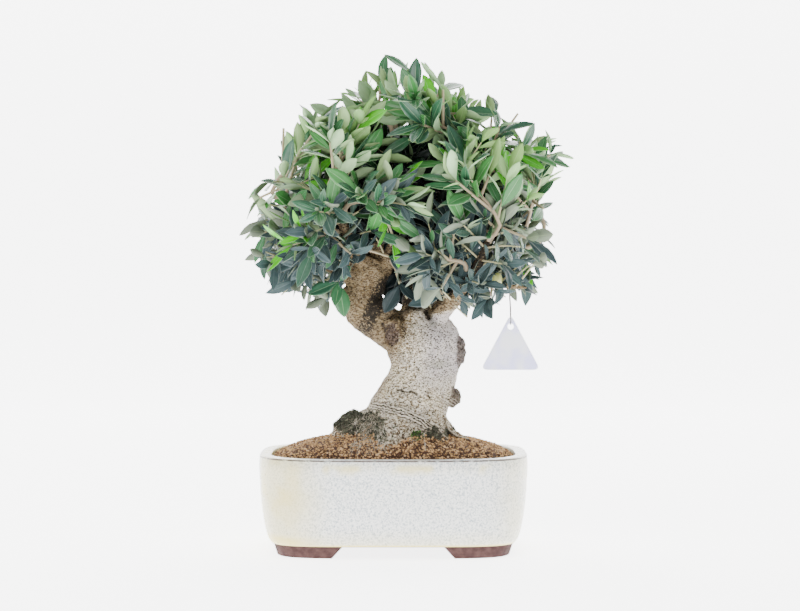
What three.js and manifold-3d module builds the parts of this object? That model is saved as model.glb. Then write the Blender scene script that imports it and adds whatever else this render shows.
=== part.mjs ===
// Olive bonsai: an old, leaning olive trunk with a broad crown of leafy sprays, planted in a
// rounded, oblong ceramic bonsai pot on four corner feet. Two olives hang among the leaves, and a
// bare triangular tag hangs from a twig.
// Millimetres, +Z up. Everything is laid out about the pot's own axis, with the pot's rim at z = 77
// and the floor at z = FLOOR, and the whole is moved at the end so that the origin is on the floor
// under the middle of its bounding box.
import * as THREE from "three";
import { mergeVertices } from "three/addons/utils/BufferGeometryUtils.js";
import Module from "manifold-3d";

const wasm = await Module();
wasm.setup();

// ---------------------------------------------------------------- driving dimensions

const GAP = 0.3; // between pieces that meet
const FLOOR = -4;
const POT = {
  halfLength: 111.8,
  halfDepth: 81,
  footTop: 5.8,
  sides: 28, // corners of its outline
  // height, how far the face lies inside the widest outline there, and how square the outline is
  outside: [[5.8, 11.2, 5], [9.8, 8.2, 4.8], [21, 5, 4.4], [42, 2, 4], [71, 0, 3.6], [77, 1.1, 3.6]],
  inside: [[12.5, 16, 4.4], [21, 12, 4.2], [72, 10.6, 3.6], [82, 10.2, 3.6]],
};
const FOOT = { inset: 12.5, taper: 3, width: 15, square: 5, gapX: [49.5, 41], gapY: [32, 23] };
const DRAIN = { x: 48, radius: 10, sides: 12 };
const SCREEN = { size: 34, thickness: 1.2, bar: 4, holes: 2 };
const SOIL = { edge: 74, rise: 15.5, steepness: 4, heap: 4, heapSize: 45, grain: 0.9, rings: 5 };
const TAG = {
  centreX: 96,
  y: -38,
  top: 193, // of its corner point, before that is rounded off
  width: 49,
  height: 46,
  thickness: 1,
  corner: 4,
  hole: 2.6,
  holeDrop: 10.5,
};
const STRING = { diameter: 0.9, sides: 8, steps: 30 };
const CROWN = {
  centre: [12, 2, 290],
  reach: [118, 86, 92], // where the sprays' leading tips end
  lowest: -0.84, // the lowest spray's height under the centre, as a share of the reach
  sprays: 27,
  sideReach: 25, // how far a side shoot's tip stands from the leading tip
};
const LEAF = {
  length: [26, 38],
  slender: [0.3, 0.38], // width over length
  thickness: 0.7,
  corners: [0.33, 0.72], // where along its length the blade has its side corners
  stemShares: [0.7, 0.85, 1], // where the pairs of leaves are on a leading shoot
  sideShares: [1],
};
const SIDE_SHOOTS = [0.42, 0.58, 0.74]; // where the side shoots leave a spray's stem
const OLIVE = { length: 11.6, width: 8.2, stalk: 0.8 };
const OLIVES = [ // where each hangs, and the way its blossom end points
  { centre: [54, -64, 279], tip: [-1, -0.1, -0.2] },
  { centre: [84, -60, 221], tip: [-0.1, -0.1, -1] },
];
const SPRAY_SPACING = 11; // between the places where sprays leave the branches
const GOOD_STEM = 34; // a shorter stem is as bad as one that is longer by as much
const BLADE_ROOM = 1.7; // half the least distance between two blades' middle surfaces
const BLADE_CHECKS = [0.26, 0.36, 0.46, 0.56, 0.66, 0.76, 0.86, 0.96]; // along a blade
const BLADE_SIDES = [-0.84, -0.42, 0, 0.42, 0.84]; // and across it
const BLADE_FOOT = 0.14; // a place near the root, where only other sprays could be in the way
const FUSE = 0.12; // joined pieces may lose detail finer than this
const SEED = 41;

// The trunk, its roots, burls and main branches: [x, y, z, radius] along each one.
const TRUNK = [
  [2, 0, 60, 42], [4, 0, 80, 43], [8, 0, 96, 37], [12.5, 0, 111, 32],
  [17.5, 0, 122, 29.6], [21.8, 0, 131, 28.4], [25, 0, 141, 28], [26.3, 0, 151, 28.6],
  [25.5, 0, 162, 30.3], [24.5, 0, 172, 30.3], [23, 0, 182, 26], [22, 0, 190, 20],
];
const LIMB = [
  [24, 0, 160, 23], [7, 0, 174, 17.5], [-13, 0, 186.5, 17], [-25, 0, 197, 17.5],
  [-25.5, 0, 209, 15.2], [-22.5, 0, 219, 15.8], [-20.5, 0, 228, 17.5], [-17, 0, 239, 15],
];
const ROOTS = [
  [[0, 0, 104, 18], [-20, -4, 98, 15.5], [-34, -6, 94, 13], [-44, -8, 84, 11], [-50, -9, 68, 7]],
  [[6, -20, 108, 16], [0, -34, 97, 14], [-6, -45, 84, 10], [-9, -51, 68, 6]],
  [[38, -6, 104, 7], [48, -11, 94, 3], [61, -16, 88, 1.8], [74, -20, 74, 1.4]],
  [[28, -16, 106, 12], [34, -26, 95, 8.5], [39, -34, 84, 5.5], [42, -38, 68, 3]],
  [[14, 22, 108, 15], [18, 36, 96, 12], [24, 48, 82, 8], [27, 53, 66, 5]],
  [[-6, 18, 106, 15], [-22, 30, 95, 12], [-34, 42, 82, 8], [-39, 47, 66, 5]],
  [[32, 12, 106, 10], [44, 24, 95, 5.5], [54, 34, 85, 3], [60, 40, 70, 2]],
];
const BURLS = [ // centre, then half sizes
  [[53, -3, 161], [7.8, 9, 13]],
  [[50, -6, 122.5], [6.6, 7, 8.5]],
  [[22, 0, 188], [19, 20, 11]],
  [[33, -8, 187], [9, 10, 10]],
  [[0, -14, 180], [9, 9, 10]],
  [[-38, -3, 203], [8, 9, 12]],
  [[-34, 0, 232], [7, 8, 8]],
];
const BRANCHES = [
  [[-28, -3, 226, 9], [-44, -5, 246, 7], [-67, -8, 262, 5.2], [-86, -10, 280, 3.4]],
  [[-27, -2, 216, 7], [-54, -12, 233, 5.4], [-80, -19, 239, 4], [-100, -23, 240, 2.8]],
  [[-17, 0, 230, 10], [-12, 3, 258, 8], [-6, 5, 288, 6], [2, 2, 316, 4.4], [4, -2, 342, 3]],
  [[-10, -3, 229, 9], [7, -9, 256, 6.4], [30, -12, 286, 4.8], [50, -14, 314, 3.2]],
  [[-23, 3, 228, 8], [-19, 30, 251, 6], [-15, 53, 277, 4.4], [-12, 68, 300, 3]],
  [[-25, -3, 230, 6.5], [-34, -28, 250, 5], [-42, -50, 268, 3.8], [-48, -66, 286, 2.8]],
  [[28, -1, 182, 10], [52, -5, 206, 7], [80, -4, 226, 5.2], [104, 0, 245, 3.4]],
  [[26, 4, 182, 9], [46, 30, 208, 6], [62, 52, 234, 4.6], [72, 66, 260, 3]],
  [[30, -4, 180, 8], [50, -30, 206, 5.6], [66, -50, 228, 4.2], [76, -64, 252, 2.8]],
  [[16, 0, 184, 9], [14, 2, 206, 6.8], [32, 6, 232, 5.4], [57, 12, 272, 4], [76, 14, 302, 2.8]],
  [[-24, 4, 220, 7], [-44, 27, 242, 5.4], [-61, 47, 262, 4], [-73, 59, 284, 2.8]],
  [[55, -7, 208, 4.5], [75, -28, 219, 3.2], [94, -38, 216, 2.3], [110, -41, 214, 1.7]],
];
// The edge of the leaves as seen from the front, [x, z] where a sight line passes the pot's axis.
// The limb and the fork stand clear below it.
const CROWN_EDGE = [
  [-131, 253], [-124, 272], [-121, 294], [-103, 313], [-95, 330], [-96, 352], [-80, 367], [-57, 373],
  [-44, 386], [-28, 393], [-11, 410], [10, 410], [29, 404], [46, 392], [64, 386], [84, 379],
  [92, 362], [115, 354], [139, 339], [154, 319], [137, 293], [132, 271], [140, 246], [135, 220],
  [118, 201], [99, 198], [92, 186], [80, 184], [62, 188], [48, 196], [20, 197], [5, 193],
  [-6, 204], [-5, 222], [2, 238], [-20, 243], [-36, 240], [-42, 222], [-50, 206], [-47, 187],
  [-76, 189], [-92, 204], [-106, 197], [-119, 216],
];
const VIEW = { x: 5.45, z: 225.6, back: 1580 }; // where the front view is seen from
const TRUNK_SIDES = 14;
const LIMB_SIDES = 10;
const ROOT_SIDES = 6;
const BRANCH_SIDES = 5;

const LEAF_LEVELS = { silver: 300, green: 250 }; // how high a spray's tip is where its leaves change colour

const finish = (color, roughness) => new THREE.MeshStandardMaterial({ color, roughness });
const FINISHES = {
  glaze: finish(0xe3e2d8, 0.35),
  soil: finish(0x9a6238, 0.95),
  bark: finish(0xc4b8a2, 0.9),
  leafSilver: finish(0x9fb592, 0.6),
  leafGreen: finish(0x3f7f38, 0.45),
  leafShade: finish(0x3d5458, 0.5),
  screen: finish(0x2c2e2c, 0.6),
  tag: finish(0xdcdcee, 0.4),
  string: finish(0x4a4644, 0.8),
};

// ---------------------------------------------------------------- seeded numbers and curves

function dice(seed) {
  let state = seed >>> 0;
  return () => {
    state = (state + 0x6d2b79f5) >>> 0;
    let t = Math.imul(state ^ (state >>> 15), 1 | state);
    t = (t + Math.imul(t ^ (t >>> 7), 61 | t)) ^ t;
    return ((t ^ (t >>> 14)) >>> 0) / 4294967296;
  };
}

const mix = (low, high, share) => low + (high - low) * share;
const vec = (p) => new THREE.Vector3(p[0], p[1], p[2]);

// A smooth curve through control points [x, y, z, radius], read at share t of its length.
function along(path, t) {
  const s = Math.min(Math.max(t, 0), 1) * (path.length - 1);
  const i = Math.min(Math.floor(s), path.length - 2);
  const f = s - i;
  const [a, b, c, d] = [i - 1, i, i + 1, i + 2].map((k) => path[Math.min(Math.max(k, 0), path.length - 1)]);
  return [0, 1, 2, 3].map(
    (k) =>
      0.5 *
      (2 * b[k] +
        (c[k] - a[k]) * f +
        (2 * a[k] - 5 * b[k] + 4 * c[k] - d[k]) * f * f +
        (3 * b[k] - a[k] - 3 * c[k] + d[k]) * f * f * f),
  );
}

// The same curve cut into straight steps, and a place and heading along such a line.
const stations = (path, steps) => Array.from({ length: steps + 1 }, (_, k) => along(path, k / steps));

function onLine(line, t) {
  const s = Math.min(Math.max(t, 0), 1) * (line.length - 1);
  const i = Math.min(Math.floor(s), line.length - 2);
  return {
    at: vec(line[i]).lerp(vec(line[i + 1]), s - i),
    heading: vec(line[i + 1]).sub(vec(line[i])).normalize(),
    radius: mix(line[i][3], line[i + 1][3], s - i),
  };
}

const heading = (path, t) =>
  vec(along(path, Math.min(t + 0.02, 1)))
    .sub(vec(along(path, Math.max(t - 0.02, 0))))
    .normalize();

// A unit vector square to the given one, turned about it by an angle.
function sideways(axis, angle) {
  const pole = Math.abs(axis.z) < 0.9 ? new THREE.Vector3(0, 0, 1) : new THREE.Vector3(1, 0, 0);
  const across = pole.cross(axis).normalize();
  const other = axis.clone().cross(across);
  return across.multiplyScalar(Math.cos(angle)).addScaledVector(other, Math.sin(angle));
}

// ---------------------------------------------------------------- solids

function solid(geometry) {
  const bare = geometry.clone();
  bare.deleteAttribute("normal");
  bare.deleteAttribute("uv");
  const merged = mergeVertices(bare, 1e-4);
  const made = new wasm.Manifold(
    new wasm.Mesh({
      numProp: 3,
      vertProperties: new Float32Array(merged.attributes.position.array),
      triVerts: new Uint32Array(merged.index.array),
    }),
  );
  return made;
}

function geometryOf(body) {
  const mesh = body.getMesh();
  return new THREE.BufferGeometry()
    .setAttribute("position", new THREE.BufferAttribute(mesh.vertProperties, 3))
    .setIndex(new THREE.BufferAttribute(mesh.triVerts, 1));
}

const joined = (bodies) => bodies.reduce((all, one) => all.add(one));

function piece(name, body, material) {
  const geometry = geometryOf(body);
  geometry.computeVertexNormals();
  const mesh = new THREE.Mesh(geometry, material);
  mesh.name = name;
  return mesh;
}

const shell = (points, index) =>
  new THREE.BufferGeometry()
    .setAttribute("position", new THREE.Float32BufferAttribute(points.flatMap((p) => p.toArray()), 3))
    .setIndex(index);

// A closed skin over rings of equal point counts, with flat ends.
function skin(rings) {
  const n = rings[0].length;
  const index = [];
  for (let r = 0; r + 1 < rings.length; r++)
    for (let i = 0; i < n; i++) {
      const [a, b] = [r * n + i, r * n + ((i + 1) % n)];
      index.push(a, b, b + n, a, b + n, a + n);
    }
  const last = (rings.length - 1) * n;
  for (let i = 1; i + 1 < n; i++) index.push(0, i + 1, i, last, last + i, last + i + 1);
  return shell(rings.flat(), index);
}

// A tapered round bar along a line of [x, y, z, radius]; extra widens it all round.
function bar(line, sides, extra = 0) {
  const last = line.length - 1;
  let across = sideways(onLine(line, 0).heading, 0);
  const rings = line.map((p, k) => {
    const axis = vec(line[Math.min(k + 1, last)]).sub(vec(line[Math.max(k - 1, 0)])).normalize();
    across = across.clone().addScaledVector(axis, -across.dot(axis)).normalize();
    const other = axis.clone().cross(across);
    return Array.from({ length: sides }, (_, i) => {
      const a = (2 * Math.PI * i) / sides;
      return vec(p)
        .addScaledVector(across, (p[3] + extra) * Math.cos(a))
        .addScaledVector(other, (p[3] + extra) * Math.sin(a));
    });
  });
  return solid(skin(rings));
}

function ball(centre, half) {
  const shape = new THREE.IcosahedronGeometry(1, 1);
  return solid(shape.scale(...half).translate(...centre));
}

function box(low, high) {
  const size = high.map((h, i) => h - low[i]);
  const shape = new THREE.BoxGeometry(...size);
  shape.translate(...low.map((l, i) => l + size[i] / 2));
  return solid(shape);
}

// A straight bar with the given outline, extruded along Z and then turned so that Z points along axis.
function prism(outline, from, to, axis) {
  const shape = new THREE.Shape(outline.map((p) => new THREE.Vector2(...p)));
  const bar = new THREE.ExtrudeGeometry(shape, { depth: to - from, bevelEnabled: false });
  bar.translate(0, 0, from);
  if (axis === "y") bar.rotateX(Math.PI / 2);
  if (axis === "x") bar.rotateX(Math.PI / 2).rotateZ(Math.PI / 2);
  return solid(bar);
}

// ---------------------------------------------------------------- the pot, its screens and the soil

// The pot's outline at height z, drawn in by inset: an ellipse with its corners filled out.
function oblong(z, inset, square) {
  const fill = (v) => Math.sign(v) * Math.abs(v) ** (2 / square);
  return Array.from({ length: POT.sides }, (_, i) => {
    const a = (2 * Math.PI * (i + 0.5)) / POT.sides;
    const [x, y] = [fill(Math.cos(a)), fill(Math.sin(a))];
    return new THREE.Vector3(x * (POT.halfLength - inset), y * (POT.halfDepth - inset), z);
  });
}

const frustum = (levels) => solid(skin(levels.map((level) => oblong(...level))));

const drainHole = (x) => {
  const hole = new THREE.CylinderGeometry(DRAIN.radius, DRAIN.radius, 20, DRAIN.sides);
  return solid(hole.rotateX(Math.PI / 2).translate(x, 0, 10));
};

function pot() {
  const top = POT.footTop + 1;
  const { inset, taper, width, square } = FOOT;
  const skirt = frustum([[FLOOR, inset + taper, square], [top, inset, square]]).subtract(
    frustum([[FLOOR - 1, inset + width, square], [top + 1, inset + width, square]]),
  );
  const gap = (half, reach, axis) =>
    prism(
      [
        [-half[0] - 1, FLOOR - 1],
        [half[0] + 1, FLOOR - 1],
        [half[1], POT.footTop],
        [half[1], top + 1],
        [-half[1], top + 1],
        [-half[1], POT.footTop],
      ],
      -reach,
      reach,
      axis,
    );
  const feet = skirt.subtract(gap(FOOT.gapX, 100, "y")).subtract(gap(FOOT.gapY, 130, "x"));
  return frustum(POT.outside)
    .add(feet)
    .subtract(frustum(POT.inside))
    .subtract(drainHole(-DRAIN.x))
    .subtract(drainHole(DRAIN.x))
    .asOriginal()
    .simplify(FUSE / 3);
}

// A plastic mesh square that keeps the soil from washing out of a drain hole.
function screen(x) {
  const half = SCREEN.size / 2;
  const low = POT.inside[0][0] + GAP;
  const pitch = (SCREEN.size - SCREEN.bar) / SCREEN.holes;
  const bars = [];
  for (let i = 0; i <= SCREEN.holes; i++) {
    const from = -half + i * pitch;
    bars.push(box([x - half, from, low], [x + half, from + SCREEN.bar, low + SCREEN.thickness]));
    bars.push(box([x + from, -half, low], [x + from + SCREEN.bar, half, low + SCREEN.thickness]));
  }
  return joined(bars);
}

// Level near the rim, then a broad low mound that the trunk stands on.
function soilHeight(x, y) {
  const [, inset, square] = POT.inside[2];
  const [across, deep] = [Math.abs(x / (POT.halfLength - inset)), Math.abs(y / (POT.halfDepth - inset))];
  const out = across ** square + deep ** square;
  const heap = SOIL.heap * Math.exp(-(x * x + y * y) / SOIL.heapSize ** 2);
  return SOIL.edge + SOIL.rise * (1 - out ** (SOIL.steepness / square)) + heap;
}

function soil() {
  const roll = dice(SEED);
  const walls = POT.inside.slice(0, 3).map(([z, inset, square]) => oblong(z, inset + GAP, square));
  walls[0].forEach((p) => p.setZ(p.z + GAP));
  const edge = walls[2];
  const rings = [...walls];
  for (let r = 1; r <= SOIL.rings; r++) {
    const share = 1 - r / (SOIL.rings + 0.6);
    rings.push(
      edge.map((p) => {
        const [x, y] = [p.x * share, p.y * share];
        return new THREE.Vector3(x, y, soilHeight(x, y) + SOIL.grain * (2 * roll() - 1));
      }),
    );
  }
  const bed = solid(skin(rings));
  const pocket = (x) => {
    const half = SCREEN.size / 2 + GAP;
    return box([x - half, -half, 0], [x + half, half, POT.inside[0][0] + 2 * GAP + SCREEN.thickness]);
  };
  return bed
    .subtract(pocket(-DRAIN.x))
    .subtract(pocket(DRAIN.x))
    .subtract(stump(GAP + 0.3))
    .asOriginal()
    .simplify(FUSE);
}

// ---------------------------------------------------------------- the trunk and its branches

// What stands in the soil: the foot of the trunk and its roots, all wider by extra.
function stump(extra) {
  const roots = ROOTS.map((root) => bar(stations(root, 4), ROOT_SIDES, extra));
  const standing = joined([bar(stations(TRUNK, 9), TRUNK_SIDES, extra), ...roots]);
  return standing.add(standing.translate(0, 0, -GAP)).asOriginal().simplify(FUSE);
}

const trunk = () =>
  joined([
    bar(stations(TRUNK, 9), TRUNK_SIDES),
    bar(stations(LIMB, 8), LIMB_SIDES),
    ...ROOTS.map((root) => bar(stations(root, 4), ROOT_SIDES)),
    ...BURLS.map(([centre, half]) => ball(centre, half)),
    ...BRANCHES.map((branch) => bar(stations(branch, branch.length), BRANCH_SIDES)),
  ]).asOriginal().simplify(FUSE);

// ---------------------------------------------------------------- where the wood and blades are

// Balls that mark the wood and the blades, found by place, so that new pieces keep clear of them.
class Crowd {
  constructor(cell) {
    this.cell = cell;
    this.cells = new Map();
    this.thick = [];
  }

  corner(at) {
    return at.toArray().map((v) => Math.floor(v / this.cell));
  }

  add(at, radius, owner, kind) {
    const ball = { at, radius, owner, kind };
    const key = this.corner(at).join();
    if (radius > this.cell / 2) this.thick.push(ball);
    else if (this.cells.has(key)) this.cells.get(key).push(ball);
    else this.cells.set(key, [ball]);
  }

  clashes(at, radius, spare) {
    const hit = (ball) => at.distanceTo(ball.at) < radius + ball.radius && !spare(ball);
    if (this.thick.some(hit)) return true;
    const [x, y, z] = this.corner(at);
    for (let i = x - 1; i <= x + 1; i++)
      for (let j = y - 1; j <= y + 1; j++)
        for (let k = z - 1; k <= z + 1; k++) {
          const near = this.cells.get([i, j, k].join()) || [];
          if (near.some(hit)) return true;
        }
    return false;
  }
}

const crowd = new Crowd(8);
const OLD_WOOD = -1;
const HANGING = -2;

function markWood(line, owner) {
  const length = line.slice(1).reduce((sum, p, i) => sum + vec(p).distanceTo(vec(line[i])), 0);
  const steps = Math.ceil(length / 2);
  for (let k = 0; k <= steps; k++) {
    const { at, radius } = onLine(line, k / steps);
    crowd.add(at, radius + GAP, owner, "wood");
  }
}

// The tag and its string, from the tag's lower edge up to the twig.
function markTag() {
  const { centreX, y, top, height, width } = TAG;
  for (let z = top - height; z < top + 28; z += 4) {
    const half = z < top ? (width / 2) * ((top - z) / height) : 0;
    for (let x = -half; x <= half + 0.1; x += 4)
      crowd.add(new THREE.Vector3(centreX + x, y, z), 3.5, HANGING, "tag");
  }
}

// ---------------------------------------------------------------- leaves

const halfWidth = (leaf, u) => (leaf.width / 2) * Math.sin(Math.PI * u ** 1.2) ** 0.8;

// A place on a blade: u runs from root to tip, v from edge to edge.
function onBlade(leaf, u, v) {
  return leaf.root
    .clone()
    .addScaledVector(leaf.axis, leaf.length * u)
    .addScaledVector(leaf.side, halfWidth(leaf, u) * v)
    .addScaledVector(leaf.up, -leaf.bend * leaf.length * u * u);
}

// A thin plate with six corners, bent twice along its length, with both faces split alike.
function bladeSolid(leaf) {
  const [near, far] = LEAF.corners;
  const corners = [[0, 0], [near, 1], [far, 1], [1, 0], [far, -1], [near, -1]];
  const outline = corners.map(([u, v]) => onBlade(leaf, u, v));
  const face = (by) => outline.map((p) => p.clone().addScaledVector(leaf.up, by));
  const triangles = [[0, 5, 1], [1, 5, 4], [1, 4, 2], [2, 4, 3]];
  const index = triangles.flatMap(([a, b, c]) => [a, b, c, a + 6, c + 6, b + 6]);
  for (let i = 0; i < 6; i++) {
    const j = (i + 1) % 6;
    index.push(i, j, j + 6, i, j + 6, i + 6);
  }
  const points = [...face(LEAF.thickness / 2), ...face(-LEAF.thickness / 2)];
  return solid(shell(points, index));
}

const bladeChecks = (leaf) => BLADE_CHECKS.flatMap((u) => BLADE_SIDES.map((v) => onBlade(leaf, u, v)));

// Whether a place lies inside the edge of the leaves as seen from the front.
function inCrown(p) {
  const near = VIEW.back / (VIEW.back + p.y);
  const [x, z] = [VIEW.x + (p.x - VIEW.x) * near, VIEW.z + (p.z - VIEW.z) * near];
  let inside = false;
  CROWN_EDGE.forEach(([ax, az], i) => {
    const [bx, bz] = CROWN_EDGE[(i + 1) % CROWN_EDGE.length];
    if (az > z !== bz > z && x < ax + ((z - az) / (bz - az)) * (bx - ax)) inside = !inside;
  });
  return inside;
}

// One leaf at share t of a shoot, on the side that turn gives, or null where there is no room.
function growLeaf(shoot, t, turn, number, owner) {
  const roll = dice(SEED * 7919 + owner * 613 + number * 31);
  const { at, heading: stem } = onLine(shoot, t);
  const atTip = t > 0.99;
  const size = mix(...LEAF.length, roll());
  const slender = mix(...LEAF.slender, roll());
  for (let attempt = 0; attempt < 8; attempt++) {
    const open = mix(0.3, 0.8, roll()) + (atTip ? 0 : 0.4) + 0.04 * attempt;
    const out = sideways(stem, turn + mix(-0.35, 0.35, roll()) * (1 + 0.3 * attempt));
    const axis = stem.clone().multiplyScalar(Math.cos(open)).addScaledVector(out, Math.sin(open));
    const up = stem.clone().addScaledVector(new THREE.Vector3(0, 0, 1), 0.5);
    up.addScaledVector(axis, -up.dot(axis)).normalize();
    const length = size * (1 - 0.05 * attempt);
    const leaf = {
      root: at.clone().addScaledVector(stem, (atTip ? -0.9 : 0) - 0.35 * (number % 2)),
      axis,
      up,
      side: up.clone().cross(axis),
      length,
      width: length * slender,
      bend: mix(0, 0.16, roll()),
    };
    const foot = onBlade(leaf, BLADE_FOOT, 0);
    const checks = bladeChecks(leaf);
    const own = (ball) => ball.owner === owner;
    const ownWood = (ball) => ball.owner === owner && ball.kind === "wood";
    if (crowd.clashes(foot, BLADE_ROOM, own)) continue;
    if (checks.some((p) => !inCrown(p) || crowd.clashes(p, BLADE_ROOM, ownWood))) continue;
    [foot, ...checks].forEach((p) => crowd.add(p, BLADE_ROOM, owner, "blade"));
    return leaf;
  }
  return null;
}

// ---------------------------------------------------------------- sprays

// Where the sprays' leading shoots end, spread evenly over the crown.
function sprayTips() {
  const roll = dice(SEED + 1);
  const turn = Math.PI * (3 - Math.sqrt(5));
  return Array.from({ length: CROWN.sprays }, (_, i) => {
    const rise = mix(1, CROWN.lowest, (i + 0.4) / CROWN.sprays);
    const flat = rise > 0 ? Math.sqrt(1 - rise * rise) : Math.cbrt(1 + rise ** 3);
    const out = new THREE.Vector3(flat * Math.cos(i * turn), flat * Math.sin(i * turn), rise);
    return vec(CROWN.centre).add(out.multiply(vec(CROWN.reach)).multiplyScalar(mix(0.9, 1.04, roll())));
  });
}

// The branch and the share of it where a spray best starts, 1 being its end.
function rootPlace(tip, taken) {
  let best = null;
  BRANCHES.forEach((branch) => {
    for (let k = 5; k <= 20; k++) {
      const t = k / 20;
      const at = vec(along(branch, t));
      const way = tip.clone().sub(at);
      const turn = way.clone().normalize().dot(heading(branch, t));
      const awry = t < 1 ? turn < -0.1 || turn > 0.86 : turn < 0.3;
      const crowded = taken.some((p) => p.distanceTo(at) < SPRAY_SPACING);
      if (awry || crowded) continue;
      const reach = Math.max(way.length(), 2 * GOOD_STEM - way.length());
      const cost = reach * (1.5 - 0.5 * turn) * (t < 1 ? 1 : 0.75);
      if (!best || cost < best.cost) best = { cost, branch, t, at };
    }
  });
  return best;
}

// A stem from the branch to the tip: it carries on from a branch's end, or stands off its side.
function sprayStem(tip, { branch, t, at }, roll) {
  const tangent = heading(branch, t);
  const thick = along(branch, t)[3];
  const radius = Math.min(2.2, thick * 0.62);
  const first = tip.clone().sub(at).normalize().addScaledVector(tangent, 0.45).normalize();
  const start = at.clone();
  if (t < 1) {
    const young = (ball) => ball.owner !== OLD_WOOD;
    while (crowd.clashes(start, radius + 0.1, young)) start.addScaledVector(first, 0.5);
  } else {
    start.addScaledVector(tangent, GAP + 0.4);
    first.copy(tangent);
  }
  const span = tip.distanceTo(start);
  const bow = sideways(first, 2 * Math.PI * roll()).multiplyScalar(span * 0.04);
  const low = start.clone().addScaledVector(first, span * 0.34).add(bow);
  const high = start.clone().lerp(tip, 0.68);
  const radii = [radius, radius * 0.85, 1.35, 1.05];
  const path = [start, low, high, tip].map((p, i) => [...p.toArray(), radii[i]]);
  return stations(path, 4);
}

// A side shoot leaves the stem at share t and ends beside the leading tip.
function sideShoot(stem, t, angle, roll) {
  const { at } = onLine(stem, t);
  const { at: tip, heading: axis } = onLine(stem, 1);
  const end = tip
    .addScaledVector(sideways(axis, angle), CROWN.sideReach * mix(0.9, 1.2, roll()))
    .addScaledVector(axis, mix(-14, 0, roll()));
  return [[...at.toArray(), 1.3], [...end.toArray(), 1]];
}

function isFree(line, owner, from) {
  for (let k = 0; k <= 24; k++) {
    const { at, radius } = onLine(line, mix(from, 1, k / 24));
    if (crowd.clashes(at, radius + 0.5, (ball) => ball.owner === owner)) return false;
  }
  return true;
}

function growSpray(tip, place, owner) {
  const roll = dice(SEED * 101 + owner);
  let stem = null;
  for (let attempt = 0; attempt < 20 && !stem; attempt++) {
    const shift = new THREE.Vector3(roll() - 0.5, roll() - 0.5, roll() - 0.5).multiplyScalar(4 * attempt);
    const tried = sprayStem(tip.clone().add(shift), place, roll);
    const near = (place.t < 1 ? 0.6 : 7) / vec(tried[0]).distanceTo(vec(tried[4]));
    if (isFree(tried, owner, near)) stem = tried;
  }
  if (!stem) return null;
  markWood(stem, owner);
  const shoots = [{ line: stem, shares: LEAF.stemShares }];
  const spin = 2 * Math.PI * roll();
  SIDE_SHOOTS.forEach((t, number) => {
    for (let attempt = 0; attempt < 10; attempt++) {
      const line = sideShoot(stem, t, spin + 2.1 * number + mix(-0.5, 0.5, roll()), roll);
      if (!isFree(line, owner, 0)) continue;
      markWood(line, owner);
      shoots.push({ line, shares: LEAF.sideShares });
      return;
    }
  });
  return { owner, shoots, leaves: [], fruit: [] };
}

// An olive on a stalk from the nearest shoot that a straight stalk reaches without touching another.
function growOlive({ centre, tip }, sprays) {
  const axis = vec(tip).normalize();
  const top = vec(centre).addScaledVector(axis, -OLIVE.length * 0.46);
  const places = sprays.flatMap((spray) =>
    spray.shoots.flatMap(({ line }) =>
      Array.from({ length: 13 }, (_, k) => ({ spray, at: onLine(line, 0.4 + 0.05 * k).at })),
    ),
  );
  places.sort((a, b) => a.at.distanceTo(top) - b.at.distanceTo(top));
  const place = places.find(({ spray, at }) => {
    const stalk = [[...at.toArray(), OLIVE.stalk], [...top.toArray(), OLIVE.stalk]];
    return isFree(stalk, spray.owner, 0);
  });
  const stalk = [[...place.at.toArray(), OLIVE.stalk], [...top.toArray(), OLIVE.stalk]];
  markWood(stalk, place.spray.owner);
  for (const share of [-0.3, 0, 0.3]) {
    const at = vec(centre).addScaledVector(axis, OLIVE.length * share);
    crowd.add(at, 3.9, place.spray.owner, "olive");
  }
  place.spray.fruit.push({ centre: vec(centre), axis, stalk });
}

function growCrown() {
  BRANCHES.forEach((branch) => markWood(stations(branch, 12), OLD_WOOD));
  [TRUNK, LIMB].forEach((path) => markWood(stations(path, 12), OLD_WOOD));
  markTag();
  const taken = [];
  const sprays = sprayTips().map((tip, i) => {
    const place = rootPlace(tip, taken);
    taken.push(place.at);
    return growSpray(tip, place, i);
  });
  const grown = sprays.filter((spray) => spray);
  OLIVES.forEach((olive) => growOlive(olive, grown));
  for (const { owner, shoots, leaves } of grown) {
    const pairs = shoots.flatMap(({ line, shares }) =>
      shares.map((t, k) => ({ line, t, turn: k * (Math.PI / 2) + owner })),
    );
    pairs.forEach(({ line, t, turn }, k) => {
      for (const half of [0, 1]) {
        const leaf = growLeaf(line, t, turn + half * Math.PI, 2 * k + half, owner);
        if (leaf) leaves.push(leaf);
      }
    });
  }
  return grown;
}

function oliveSolid({ centre, axis, stalk }) {
  const shape = new THREE.IcosahedronGeometry(1, 1).scale(OLIVE.width / 2, OLIVE.width / 2, OLIVE.length / 2);
  shape.applyQuaternion(new THREE.Quaternion().setFromUnitVectors(new THREE.Vector3(0, 0, 1), axis));
  return solid(shape.translate(...centre.toArray())).add(bar(stalk, 3));
}

// A loose scrap, or a hollow that joining has sealed, is left out.
function spraySolid({ shoots, leaves, fruit }) {
  const wood = shoots.map(({ line }) => bar(line, 3));
  const all = joined([...wood, ...leaves.map(bladeSolid), ...fruit.map(oliveSolid)]);
  const fused = all.asOriginal().simplify(FUSE);
  return fused.decompose().reduce((most, one) => (one.volume() > most.volume() ? one : most));
}

// ---------------------------------------------------------------- the tag and its string

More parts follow.
